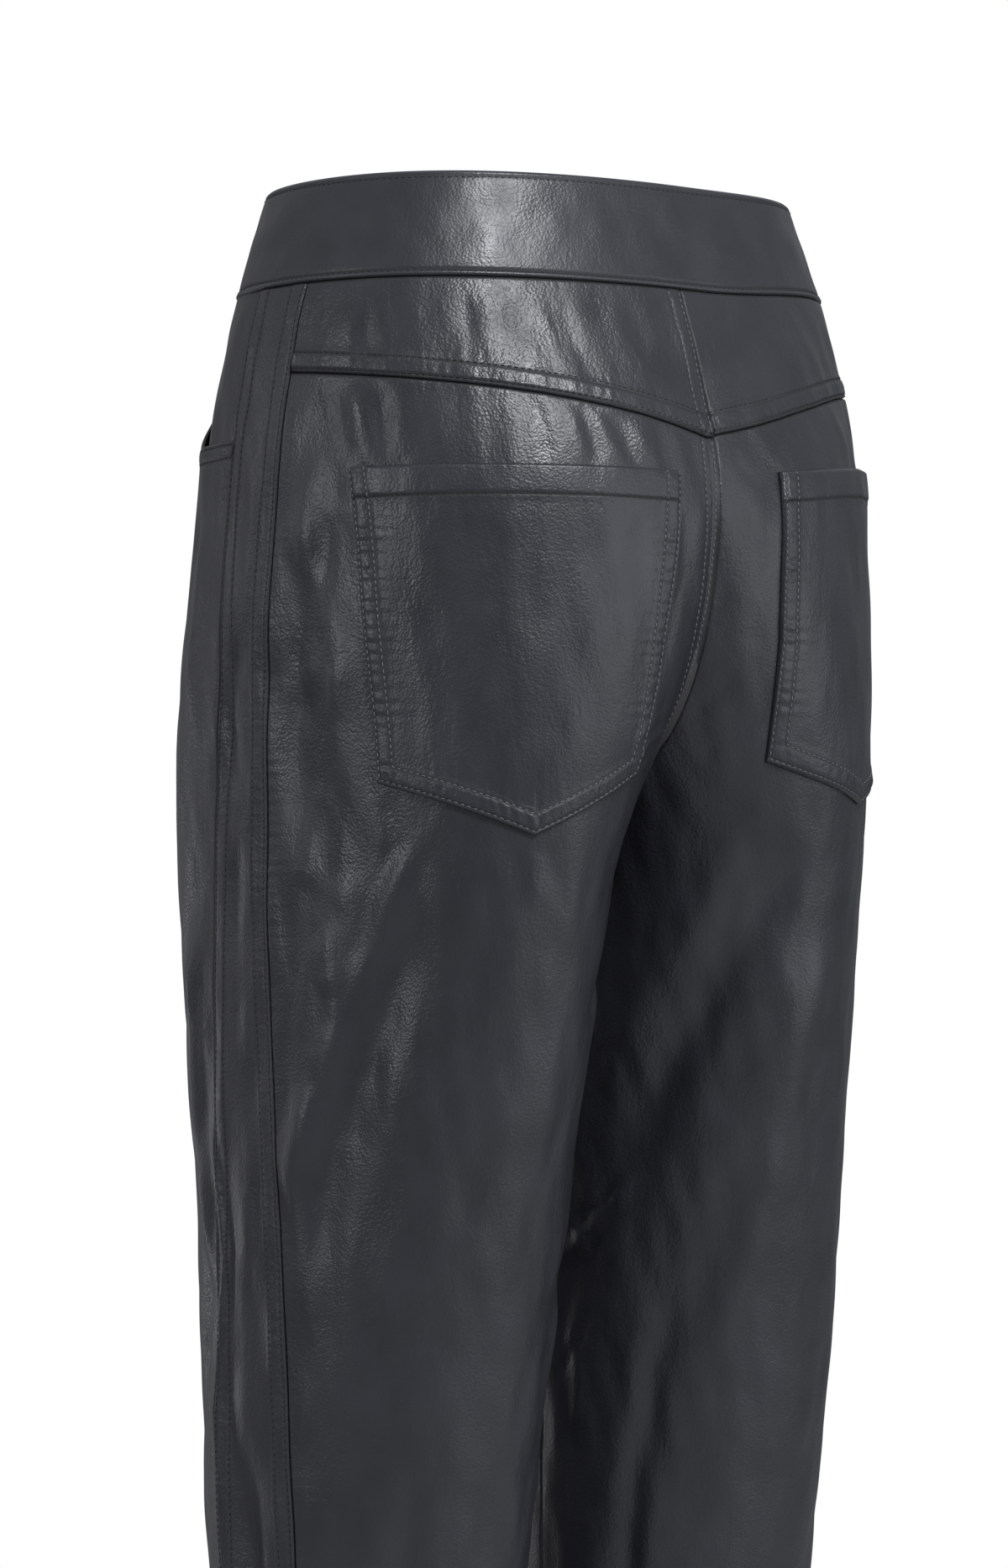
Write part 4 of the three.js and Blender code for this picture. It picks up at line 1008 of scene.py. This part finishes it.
def patchPocket(side):
    hand = 'left' if side > 0 else 'right'
    cut = patch[hand]
    width = 132.
    marksAcross = [0, .3, .7, 1.2, 1.8, 2.4, 3.2, 4.4, 5.6, 6.8, 7.8, 8.5, 9, 9.6, 10.6, 12.2, 14.5, 18]
    u = np.concatenate([np.array(marksAcross) / width, np.linspace(18, width - 18, 74)[1:-1] / width, 1 - np.array(marksAcross[::-1]) / width])
    bottom = np.where(u < .625, mix(cut['outer'], cut['tip'], u / .625), mix(cut['tip'], cut['inner'], (u - .625) / .375))
    top = cut['mouth']
    downTop = np.array([0, .3, .7, 1.2, 1.8, 3, 5, 7.5, 10, 11.8, 12.8, 13.5, 14, 14.5, 15.2, 16.5, 18.5, 21])
    blend = np.linspace(0, 1, 84)[1:-1, None]
    z = np.concatenate([
        np.repeat(top - downTop[:, None], len(u), 1),
        mix(top - 21, bottom[None, :] + 20, blend),
        bottom[None, :] + np.array(marksAcross)[::-1, None] * 1.07,
    ])
    uu = np.repeat(u[None, :], z.shape[0], 0)
    angle = pocketAngle(hand, uu, z)
    flat = bodyPoint(side, angle, z, np.zeros(z.shape), 0)
    steps = np.linalg.norm(np.diff(flat, axis=1), axis=-1)
    run = np.concatenate([np.zeros((z.shape[0], 1)), np.cumsum(steps, axis=1)], axis=1)
    fromOuter, fromInner = run, run[:, -1:] - run
    slopeOuter = math.cos(math.atan(24.5 / 82))
    slopeInner = math.cos(math.atan(29.5 / 50))
    fromBottom = (z - bottom[None, :]) * np.where(u < .625, slopeOuter, slopeInner)[None, :]
    fromTop = top - z
    away = np.minimum(np.minimum(fromOuter, fromInner), fromBottom)
    alongEdge = np.where(fromBottom <= away, run, -z)
    lift = topEdge('patch', away, alongEdge, 61 + side)
    hem = topEdge('mouthHem', fromTop, run, 63 + side)
    open_ = 1 - smoothStep(fromTop, 0, patch['gapeDepth'])
    belly = np.sin(np.clip(uu, 0, 1) * math.pi) ** .8 * open_ * patch['gape']
    stuffed = patch['filled'] * smoothStep(away, 9, 30) * smoothStep(fromTop, 13, 34)
    off = patch['off'] + belly + stuffed
    wide = pocketWaves(flat, side) * smoothStep(away, 8, 16)
    outside = bodyPoint(side, angle, z, lift + hem * smoothStep(away, 0, 3) + off + patch['wall'] + wide, .6)
    middle = z.shape[0] // 2
    columnPicks = pickEvery(run[middle], 5)
    rowPicks = pickEvery(z[:, z.shape[1] // 2], 5.5)
    pick = np.ix_(rowPicks, columnPicks)
    inside = bodyPoint(side, angle[pick], z[pick], off[pick], .6)
    # Pale wear with painted shade along the pocket's folded edges, its mouth hem and their thread rows.
    marks = edgeWearAndShade('patch', away) + edgeWearAndShade('mouthHem', fromTop)
    name = f'back_pocket_{hand}'
    for level in seams['patch']['rows']:
        outerPoints, at = firstCrossing(fromOuter, outside, level)
        down = [p for p, (i, j) in zip(outerPoints, at) if fromBottom[i, j] > level]
        innerPoints, at = firstCrossing(fromInner[:, ::-1], outside[:, ::-1], level)
        up = [p for p, (i, j) in zip(innerPoints, at) if fromBottom[i, -1 - j] > level][::-1]
        lowPoints, at = firstCrossing(fromBottom[::-1].T, outside[::-1].transpose(1, 0, 2), level)
        along = [p for p, (j, i) in zip(lowPoints, at) if min(fromOuter[-1 - i, j], fromInner[-1 - i, j]) > level]
        threadRows.append((name, 'light', np.array(down + along + up)))
    hemRow = int(np.argmin(np.abs(fromTop[:, 0] - seams['mouthHem']['rows'][0])))
    threadRows.append((name, 'dark', outside[hemRow, 3:-3]))
    return clothMesh(name, outside, inside, rowPicks, columnPicks, side, [trimLeather, insideLeather], marks)


def pocketWaves(points, side):
    return .1 * softWaves(points, 71 + side, 18, 24, 80, 1)


bandCut = {'lapOver': 5, 'lapUnder': 32, 'lapShift': 22, 'ridge': 3.2, 'topRow': 2.6, 'puff': .5}


def waistPoint(turn, z, lift):
    onRight = (turn > 90) | (turn < -90)
    angle = np.where(turn > 90, 180 - turn, np.where(turn < -90, -180 - turn, turn))
    points = ring(angle, z) + ringNormal(angle, z) * lift[..., None]
    points[..., 2] = wornHeight(onRight, points[..., 0], z)
    points[..., 0] *= np.where(onRight, -1, 1)
    return points


def bandEnds():  # the angle of the band's upper end, and of a millimetre at the centre front
    perMm = 1 / np.linalg.norm(ring(-89.5, 0) - ring(-90.5, 0))
    return 270 + bandCut['lapOver'] * perMm, perMm


def waistband():
    overEnd, perMm = bandEnds()
    underEnd = -90 - bandCut['lapUnder'] * perMm
    lapStart = -90 + (bandCut['lapOver'] + 4) * perMm
    lapDone = lapStart + bandCut['lapShift'] * perMm
    endMarks = np.array([0, .3, .8, 1.5, 2.4, 3.4, 5]) * perMm
    turns = np.concatenate([underEnd + endMarks, np.linspace(underEnd + endMarks[-1], overEnd - endMarks[-1], 262)[1:-1], overEnd - endMarks[::-1]])
    bottom = heights['bandBottom'] + .15
    drops = np.array([0, .3, .7, 1.2, 1.8, 2.6, 3.4, 4.4, 6.5, 9, 12, 15.5, 19, 22.5, 26, 29.5, 33, 36.5, 40, 42.6, 44.4, 45.6, 46.4, 46.9, 47.3, 47.7, 48.2, 48.8, 49.4, 49.9, 50.2, -bottom])
    z = np.repeat(-drops[:, None], len(turns), 1)
    turn = np.repeat(turns[None, :], len(drops), 0)
    under = 1 - smoothStep(turn, lapStart, lapDone)
    d = -z
    up = -bottom - d  # height above the lower edge
    along = (turn - underEnd) / perMm
    body = .35 * np.sin(np.clip((d - 3) / 43, 0, 1) * math.pi) ** .7
    topRoll = -.9 * (1 - smoothStep(d, 0, 1.1)) - .35 * np.exp(-((d - bandCut['topRow']) / .6) ** 2)
    ridge = .75 * np.exp(-((up - 1.5) / 1.05) ** 2) - .5 * np.exp(-((up - bandCut['ridge']) / .5) ** 2) - .9 * (1 - smoothStep(up, 0, .7))
    ends = np.minimum(turn - underEnd, overEnd - turn) / perMm
    endRoll = -.8 * (1 - smoothStep(ends, 0, 1)) - .35 * np.exp(-((ends - 2.6) / .6) ** 2)
    flat = waistPoint(turn, z, 0 * z)
    ripple = softWaves(flat, 81, 22, 16, 60, .8) * .28 * np.sin(np.clip((d - 2) / 45, 0, 1) * math.pi)
    ripple = ripple + puckers(along, 83) * .06 * np.exp(-((d - 3.6) / 2) ** 2) + puckers(along, 85) * .07 * np.exp(-((up - 4.6) / 2) ** 2)
    lift = -(leatherWall['band'] + .3) * under + body + topRoll + ridge + endRoll + ripple
    outside = waistPoint(turn, z, lift)
    columnPicks = pickEvery(along[0], 5.5)
    rowPicks = pickEvery(drops, 5.5)
    pick = np.ix_(rowPicks, columnPicks)
    thin = mix(1.05, leatherWall['band'], smoothStep(up, 5.5, 7))
    inside = waistPoint(turn[pick], z[pick], (-(leatherWall['band'] + .3) * under - thin)[pick])
    # Pale wear on the band's top edge, lower roll and ends; painted shade along its two thread rows.
    marks = np.maximum(.5 * np.exp(-((d - .5) / .6) ** 2), .3 * np.exp(-((up - 1.4) / .6) ** 2))
    marks = np.maximum(marks, .4 * np.exp(-((ends - .5) / .6) ** 2))
    marks = marks - .8 * np.exp(-((up - bandCut['ridge']) / .6) ** 2) - .6 * np.exp(-((d - bandCut['topRow']) / .6) ** 2)
    piece = clothMesh('waistband', outside, inside, rowPicks, columnPicks, 1, [bandLeather, insideLeather], marks)
    return piece


fly = {'stitchFrom': 36, 'stitchGap': 6.5, 'straightTo': -182, 'bottom': -224, 'zipBottom': -214, 'shieldBottom': -244, 'tape': 1.1}


def behindFront(xs, zs, lift):  # points behind the centre front, xs to the left
    x, z = np.meshgrid(xs, zs)
    left = skin(1, charts['front'], np.abs(x), z, lift, 0)
    right = skin(-1, charts['front'], np.abs(x), z, lift, 0)
    return np.where((x < 0)[..., None], right, left)


def flyShield():  # leather flap behind the zip, with a rounded lower corner and an overcast edge
    xs = np.array([-19, -18.6, -17.8, -16.5, -14, -11, -8, -5, -2.5, 0, 2.5, 5, 8, 11, 13, 14.2, 14.8, 15])
    zs = np.array(levels((-51, -53, .6), (-53, fly['shieldBottom'] + 3, 4), (fly['shieldBottom'] + 3, fly['shieldBottom'], .7)))
    x, z = np.meshgrid(xs, zs)
    corner = 14 * smoothStep(-x, 6, 19) ** 2  # the free edge's lower corner is cut round
    share = (z - zs[0]) / (zs[-1] - zs[0])
    z = z + corner * share ** 3
    rim = np.minimum(np.minimum(x + 19, 15 - x), z - zs[-1] - corner)
    lift = -3.1 - .4 * (1 - smoothStep(rim, 0, 1)) - .18 * np.exp(-((rim - 3) / .7) ** 2)
    left, right = (skin(hand, charts['front'], np.abs(x), z, lift, 0) for hand in (1, -1))
    outside = np.where((x < 0)[..., None], right, left)
    picks = pickEvery(zs, 6), pickEvery(xs, 4)
    pick = np.ix_(*picks)
    left, right = (skin(hand, charts['front'], np.abs(x[pick]), z[pick], np.full(x[pick].shape, -4.3), 0) for hand in (1, -1))
    inside = np.where((x[pick] < 0)[..., None], right, left)
    piece = clothMesh('fly_shield', outside, inside, picks[0], picks[1], -1, [bodyLeather, insideLeather])
    return piece


def zipStrip():  # the zip's tape, closed, with a woven cord along each inner edge
    xs = np.array([-11, -10.7, -9, -7, -5, -3.6, -3, -2.6, -2.2, -1.8, -1.2, -.5, 0, .5, 1.2, 1.8, 2.2, 2.6, 3, 3.6, 5, 7, 9, 10.7, 11])
    zs = np.array(levels((-51, fly['zipBottom'], 3)))
    x, z = np.meshgrid(xs, zs)
    cord = .4 * np.exp(-((np.abs(x) - 2.4) / .5) ** 2) - .3 * np.exp(-(x / .5) ** 2)
    lift = -1.9 + cord - .2 * (1 - smoothStep(11 - np.abs(x), 0, .5))
    outside = behindFront(xs, zs, lift)
    picks = pickEvery(zs, 7), pickEvery(xs, 3)
    inside = behindFront(xs[picks[1]], zs[picks[0]], np.full((len(picks[0]), len(picks[1])), -1.9 - fly['tape']))
    return clothMesh('fly_zip', outside, inside, picks[0], picks[1], -1, [zipTape, zipTape])


toothLook = {'pitch': 2.1, 'width': 3.4, 'height': 1.2, 'rise': .55}


def zipTeeth():  # interlocked teeth, left and right by turns
    points, faces = [], []
    count = int((-51 - fly['zipBottom'] - 8) / toothLook['pitch'] * 2)
    for n in range(count):
        z = -55 - n * toothLook['pitch'] / 2
        hand = 1 if n % 2 else -1
        inner, outer = -.9 * hand, (toothLook['width'] - .9) * hand
        stops = np.array(sorted((inner, outer)))
        half = toothLook['height'] / 2
        grid = behindFront(stops, np.array([z + half * .8, z - half * .8]), np.full((2, 2), -1.7))
        top = behindFront(stops * .9, np.array([z + half * .5, z - half * .5]), np.full((2, 2), -1.7 + toothLook['rise']))
        start = len(points)
        points += [*grid.reshape(-1, 3), *top.reshape(-1, 3)]
        a, b, c, d, e, f, g, h = range(start, start + 8)
        faces += [(a, c, d, b), (e, f, h, g), (a, b, f, e), (b, d, h, f), (d, c, g, h), (c, a, e, g)]
    mesh = bpy.data.meshes.new('zip_teeth')
    mesh.from_pydata((np.array(points) * mm).tolist(), [], faces)
    mesh.materials.append(gunMetal)
    piece = bpy.data.objects.new('zip_teeth', mesh)
    bpy.context.scene.collection.objects.link(piece)
    return piece


button = {  # radius and height round the metal button, in millimetres
    'profile': [[0, .1], [6.6, .1], [7.2, .3], [7.9, .9], [8.4, 1.5], [8.5, 1.9], [8.3, 2.4], [7.8, 2.8], [7.1, 3], [6.4, 2.9],
                [5.9, 2.5], [5.5, 2.2], [4.6, 2.1], [3.6, 2.2], [3.1, 2.45], [2.4, 2.6], [1.2, 2.65], [0, 2.65]],
    'sides': 72, 'holeLength': 19, 'holeWidth': 4.2,
}


def waistButton():
    seat = waistPoint(np.array([-90.]), np.array([heights['bandBottom'] / 2]), np.array([.3]))[0]
    out = ringNormal(np.array([-90.]), np.array([heights['bandBottom'] / 2]))[0]
    across = np.array([1., 0, 0])
    up = np.cross(out, across)
    points, faces = [], []
    rings = button['profile'][1:-1]
    sides = button['sides']
    for r, h in rings:
        for k in range(sides):
            a = 2 * math.pi * k / sides
            points.append(seat + across * r * math.cos(a) + up * r * math.sin(a) + out * h)
    for i in range(len(rings) - 1):
        for k in range(sides):
            m = (k + 1) % sides
            faces.append((i * sides + k, i * sides + m, (i + 1) * sides + m, (i + 1) * sides + k))
    foot, top = len(points), len(points) + 1
    points += [seat + out * button['profile'][0][1], seat + out * button['profile'][-1][1]]
    last = (len(rings) - 1) * sides
    for k in range(sides):
        m = (k + 1) % sides
        faces += [(foot, m, k), (top, last + k, last + m)]
    mesh = bpy.data.meshes.new('waist_button')
    mesh.from_pydata((np.array(points) * mm).tolist(), [], faces)
    mesh.polygons.foreach_set('use_smooth', np.ones(len(mesh.polygons), bool))
    mesh.materials.append(gunMetal)
    piece = bpy.data.objects.new('waist_button', mesh)
    bpy.context.scene.collection.objects.link(piece)
    return piece


pieces = {}
for side in (1, -1):
    hand = 'left' if side > 0 else 'right'
    for node, make in ((f'back_panel_{hand}', backPanel), (f'yoke_{hand}', yoke), (f'side_panel_{hand}', sideStrip),
                       (f'front_panel_{hand}', frontPanel), (f'front_pocket_facing_{hand}', hipFacing), (f'back_pocket_{hand}', patchPocket)):
        pieces[node] = make(side)
    print('made the', hand, 'side')
pieces['waistband'] = waistband()
pieces['fly_shield'] = flyShield()
pieces['fly_zip'] = zipStrip()
pieces['waist_button'] = waistButton()
teeth = zipTeeth()
print('made the waistband and the fly')


# Stitching. Each row is a line on one piece, and each stitch is a short length of thread that
# rises out of the leather and goes back into it.
stitchLook = {'pitch': 3.1, 'length': 2.2, 'thick': .52, 'sides': 5, 'above': .16}


def panelRow(side, chart, name, thread, distance, z):
    distance, z = np.broadcast_arrays(np.asarray(distance, float), np.asarray(z, float))
    threadRows.append((name, thread, skin(side, charts[chart], distance.copy(), z.copy(), np.full(z.shape, .8))))


def besideLine(line, angles, offset):  # a line moved across the cloth, towards the wearer's left where offset is over 0
    along = np.gradient(line, axis=0)
    across = np.cross(along, ringNormal(angles, line[:, 2]))
    across /= np.linalg.norm(across, axis=-1, keepdims=True)
    across *= np.sign(across[:, :1])
    return line + across * offset[:, None]


for side in (1, -1):
    hand = 'left' if side > 0 else 'right'
    down = np.linspace(-51.4, -998, 950)
    stripLength = charts['strip'].length(down)
    for row in (1.6, 9):
        panelRow(side, 'strip', f'side_panel_{hand}', 'dark', row, down)
        panelRow(side, 'strip', f'side_panel_{hand}', 'dark', stripLength - row, down)
    lap = lapOfCentre(-120.)
    reach = np.linspace(.6, 221 + lap * side - 1, 240)
    for row in (1.6, 9.4):
        z = yokeSeam(np.clip(reach / 221, 0, 1)) + row
        panelRow(side, 'back', f'yoke_{hand}', 'dark', reach, z)
    for chart, name in (('back', 'back_panel'), ('strip', 'side_panel'), ('front', 'front_panel')):
        span = float(charts[chart].length(-975.2))
        panelRow(side, chart, f'{name}_{hand}', 'dark', np.linspace(.8, span - .8, 80), -975.2)

seamRows = [1.2, 7.2]
yokeDown = np.linspace(-51.4, -119, 80)
backDown = (knots < -122) & (knots > crotch)
for row in seamRows:
    panelRow(1, 'back', 'yoke_left', 'light', charts['back'].length(yokeDown) + lapOfCentre(yokeDown) - row, yokeDown)
    line = besideLine(centreLine['back'][backDown], backEnds[backDown], row - lapOfCentre(knots[backDown]))
    threadRows.append(('back_panel_left', 'light', line))

flyTurn = np.linspace(0, math.pi / 2, 40)[1:]
for row in (0, fly['stitchGap']):
    far, low = fly['stitchFrom'] - row, fly['bottom'] + row
    distance = np.concatenate([np.full(60, float(far)), 1 + (far - 1) * np.cos(flyTurn)])
    z = np.concatenate([np.linspace(-51.4, fly['straightTo'], 60), fly['straightTo'] + (low - fly['straightTo']) * np.sin(flyTurn)])
    panelRow(-1, 'front', 'front_panel_right', 'dark', distance, z)
frontDown = (knots < fly['bottom'] - 2) & (knots > crotch)
for row in seamRows:
    line = besideLine(centreLine['front'][frontDown] * [-1, 1, 1], frontEnds[frontDown], np.full(frontDown.sum(), -row - .6))
    threadRows.append(('front_panel_right', 'dark', line))

overEnd, perMm = bandEnds()
bandTurns = np.linspace(-84, overEnd - 2.6 * perMm, 900)
for drop in (bandCut['topRow'], -heights['bandBottom'] - bandCut['ridge']):
    threadRows.append(('waistband', 'dark', waistPoint(bandTurns, np.full(900, -drop), np.full(900, .8))))
endDown = -np.linspace(bandCut['topRow'], -heights['bandBottom'] - bandCut['ridge'], 40)
threadRows.append(('waistband', 'dark', waistPoint(np.full(40, overEnd - 2.6 * perMm), endDown, np.full(40, .8))))


def layRow(tree, line):  # the corners of the stitches of one row
    steps = np.linalg.norm(np.diff(line, axis=0), axis=1)
    keep = np.concatenate([[True], steps > 1e-6])
    line, steps = line[keep], steps[steps > 1e-6]
    run = np.concatenate([[0], np.cumsum(steps)])
    count = int(run[-1] // stitchLook['pitch'])
    if count < 1:
        return np.zeros((0, 3))
    middle = (np.arange(count) + .5) * run[-1] / count
    places, normals = [], []
    for part in (-1, -.7, 0, .7, 1):
        at = middle + part * stitchLook['length'] / 2
        spots = np.stack([np.interp(at, run, line[:, k]) for k in range(3)], -1)
        found = [tree.find_nearest(spot) for spot in spots]
        places.append(np.array([f[0] for f in found]))
        normals.append(np.array([f[1] for f in found]))
    places, up = np.stack(places, 1), normals[2]
    ahead = places[:, 4] - places[:, 0]
    ahead /= np.linalg.norm(ahead, axis=1, keepdims=True)
    across = np.cross(up, ahead)
    across /= np.linalg.norm(across, axis=1, keepdims=True)
    radius = stitchLook['thick'] / 2
    corners = [places[:, 0] - up * .1]
    for k, (height, size) in zip((1, 2, 3), ((.3, .85), (1, 1), (.3, .85))):
        centre = places[:, k] + up * stitchLook['above'] * height
        for m in range(stitchLook['sides']):
            a = 2 * math.pi * m / stitchLook['sides']
            corners.append(centre + radius * size * (across * math.cos(a) + up * math.sin(a)))
    corners.append(places[:, 4] - up * .1)
    return np.stack(corners, 1).reshape(-1, 3)


def stitchFaces():
    n = stitchLook['sides']
    faces = []
    for m in range(n):
        k = (m + 1) % n
        faces.append((0, 1 + k, 1 + m))
        for ring_ in (0, 1):
            a, b = 1 + ring_ * n, 1 + (ring_ + 1) * n
            faces += [(a + m, a + k, b + k), (a + m, b + k, b + m)]
        faces.append((3 * n + 1, 1 + 2 * n + m, 1 + 2 * n + k))
    return np.array(faces)


stitchShape = stitchFaces()
cornersEach = 3 * stitchLook['sides'] + 2
groups = {'back_stitches': ('yoke', 'back_panel', 'back_pocket'), 'side_stitches': ('side_panel',), 'front_stitches': ('front_panel',), 'band_stitches': ('waistband',)}
# 'light' rows take the lit copy of the thread and 'dark' rows the shaded copy.
threads = {'dark': shadedThread, 'light': litThread}
stitchPieces = []
for group, owners in groups.items():
    found, kinds = [], []
    for name, thread, line in threadRows:
        if name.startswith(owners) and len(line) > 2:
            corners = layRow(trees[name], line)
            found.append(corners)
            kinds += [list(threads).index(thread)] * (len(corners) // cornersEach)
    corners = np.concatenate(found)
    count = len(corners) // cornersEach
    faces = (stitchShape[None] + (np.arange(count) * cornersEach)[:, None, None]).reshape(-1, 3)
    mesh = bpy.data.meshes.new(group)
    mesh.vertices.add(len(corners))
    mesh.vertices.foreach_set('co', (corners * mm).reshape(-1))
    mesh.loops.add(faces.size)
    mesh.loops.foreach_set('vertex_index', faces.reshape(-1))
    mesh.polygons.add(len(faces))
    mesh.polygons.foreach_set('loop_start', np.arange(0, faces.size, 3))
    for thread in threads.values():
        mesh.materials.append(thread)
    mesh.polygons.foreach_set('material_index', np.repeat(np.array(kinds, np.int32), len(stitchShape)))
    mesh.polygons.foreach_set('use_smooth', np.ones(len(faces), bool))
    mesh.update(calc_edges=True)
    mesh.validate()
    piece = bpy.data.objects.new(group, mesh)
    bpy.context.scene.collection.objects.link(piece)
    stitchPieces.append(piece)
    print(group, count, 'stitches')

for node, piece in pieces.items():
    piece.name = f'{node}_shell'
    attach(piece, 'root')
    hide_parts(node)
for piece in stitchPieces:
    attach(piece, 'root')
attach(teeth, 'root')
# Room, light and camera.
room = {
    'floorZ': -1.0012, 'floorRadius': 3, 'airBelow': .17, 'airAbove': .42, 'white': 1, 'tint': (.945, .962, 1),
}
# Softboxes: azimuth, elevation and distance from their target, width, height and watts.
softboxes = {
    'key': {'azimuth': 80, 'elevation': 42, 'distance': 2.6, 'size': (.5, .7), 'watts': 56, 'target': (.06, .08, -.15)},
    'second': {'azimuth': -6, 'elevation': 12, 'distance': 2.6, 'size': (.32, .55), 'watts': 10.5, 'target': (.1, .06, -.2)},
    'side': {'azimuth': -49, 'elevation': 12, 'distance': 2.4, 'size': (.25, .5), 'watts': 2, 'target': (.1, 0, -.2)},
    'rim': {'azimuth': -76, 'elevation': 1, 'distance': 2.6, 'size': (.14, .5), 'watts': 2.2, 'target': (.1, 0, -.58)},
    'fill': {'azimuth': 118, 'elevation': 8, 'distance': 3.2, 'size': (3, 1.8), 'watts': 27, 'target': (.1, 0, -.4)},
}


def aim(thing, spot, target):
    thing.location = spot
    thing.rotation_mode = 'QUATERNION'
    thing.rotation_quaternion = (Vector(target) - Vector(spot)).to_track_quat('-Z', 'Y')


for name, look in softboxes.items():
    light = bpy.data.lights.new(f'{name}Box', 'AREA')
    light.shape, light.size, light.size_y, light.energy = 'RECTANGLE', *look['size'], look['watts']
    light.color = room['tint']
    box = bpy.data.objects.new(f'{name}Box', light)
    bpy.context.scene.collection.objects.link(box)
    a, e = math.radians(look['azimuth']), math.radians(look['elevation'])
    toBox = Vector((math.cos(a) * math.cos(e), math.sin(a) * math.cos(e), math.sin(e)))
    aim(box, Vector(look['target']) + look['distance'] * toBox, look['target'])

world = bpy.context.scene.world or bpy.data.worlds.new('studio')
bpy.context.scene.world = world
world.use_nodes = True
air, airLinks = world.node_tree.nodes, world.node_tree.links
air.clear()
grey, white = air.new('ShaderNodeBackground'), air.new('ShaderNodeBackground')
grey.inputs['Color'].default_value = (*room['tint'], 1)
skyPlace, skyParts, skyRise = air.new('ShaderNodeTexCoord'), air.new('ShaderNodeSeparateXYZ'), air.new('ShaderNodeMapRange')
skyRise.inputs['From Min'].default_value, skyRise.inputs['From Max'].default_value = -.1, .6
skyRise.inputs['To Min'].default_value, skyRise.inputs['To Max'].default_value = room['airBelow'], room['airAbove']
airLinks.new(skyPlace.outputs['Generated'], skyParts.inputs['Vector'])
airLinks.new(skyParts.outputs['Z'], skyRise.inputs['Value'])
airLinks.new(skyRise.outputs['Result'], grey.inputs['Strength'])
white.inputs['Color'].default_value, white.inputs['Strength'].default_value = (1, 1, 1, 1), room['white']
pathKind, both, sky = air.new('ShaderNodeLightPath'), air.new('ShaderNodeMixShader'), air.new('ShaderNodeOutputWorld')
airLinks.new(pathKind.outputs['Is Camera Ray'], both.inputs['Fac'])
airLinks.new(grey.outputs['Background'], both.inputs[1])
airLinks.new(white.outputs['Background'], both.inputs[2])
airLinks.new(both.outputs['Shader'], sky.inputs['Surface'])

floorMesh = bpy.data.meshes.new('floor')
spokes = 96
rimPoints = [(room['floorRadius'] * math.cos(2 * math.pi * i / spokes), room['floorRadius'] * math.sin(2 * math.pi * i / spokes), room['floorZ']) for i in range(spokes)]
floorMesh.from_pydata(rimPoints, [], [tuple(range(spokes))])
floorMesh.materials.append(plainMaterial('paleFloor', (.5, .5, .5), .7, grainMm=6, grainHeightMm=.01))
floor = bpy.data.objects.new('floor', floorMesh)
bpy.context.scene.collection.objects.link(floor)

lens = {'azimuth': 38, 'distance': 3, 'height': -.447, 'aimHeight': -.274, 'across': -.011, 'millimetres': 146}
turn = math.radians(lens['azimuth'])
right = Vector((-math.cos(turn), math.sin(turn), 0))
away = Vector((math.sin(turn), math.cos(turn), 0))
camera = bpy.data.objects.new('camera', bpy.data.cameras.new('camera'))
camera.data.lens = lens['millimetres']
camera.data.clip_end = 100
bpy.context.scene.collection.objects.link(camera)
spot = away * lens['distance'] + right * lens['across']
spot.z = lens['height']
target = right * lens['across']
target.z = lens['aimHeight']
aim(camera, spot, target)
bpy.context.scene.camera = camera
print('room, light and camera set')

bpy.context.scene.view_settings.view_transform = 'Standard'
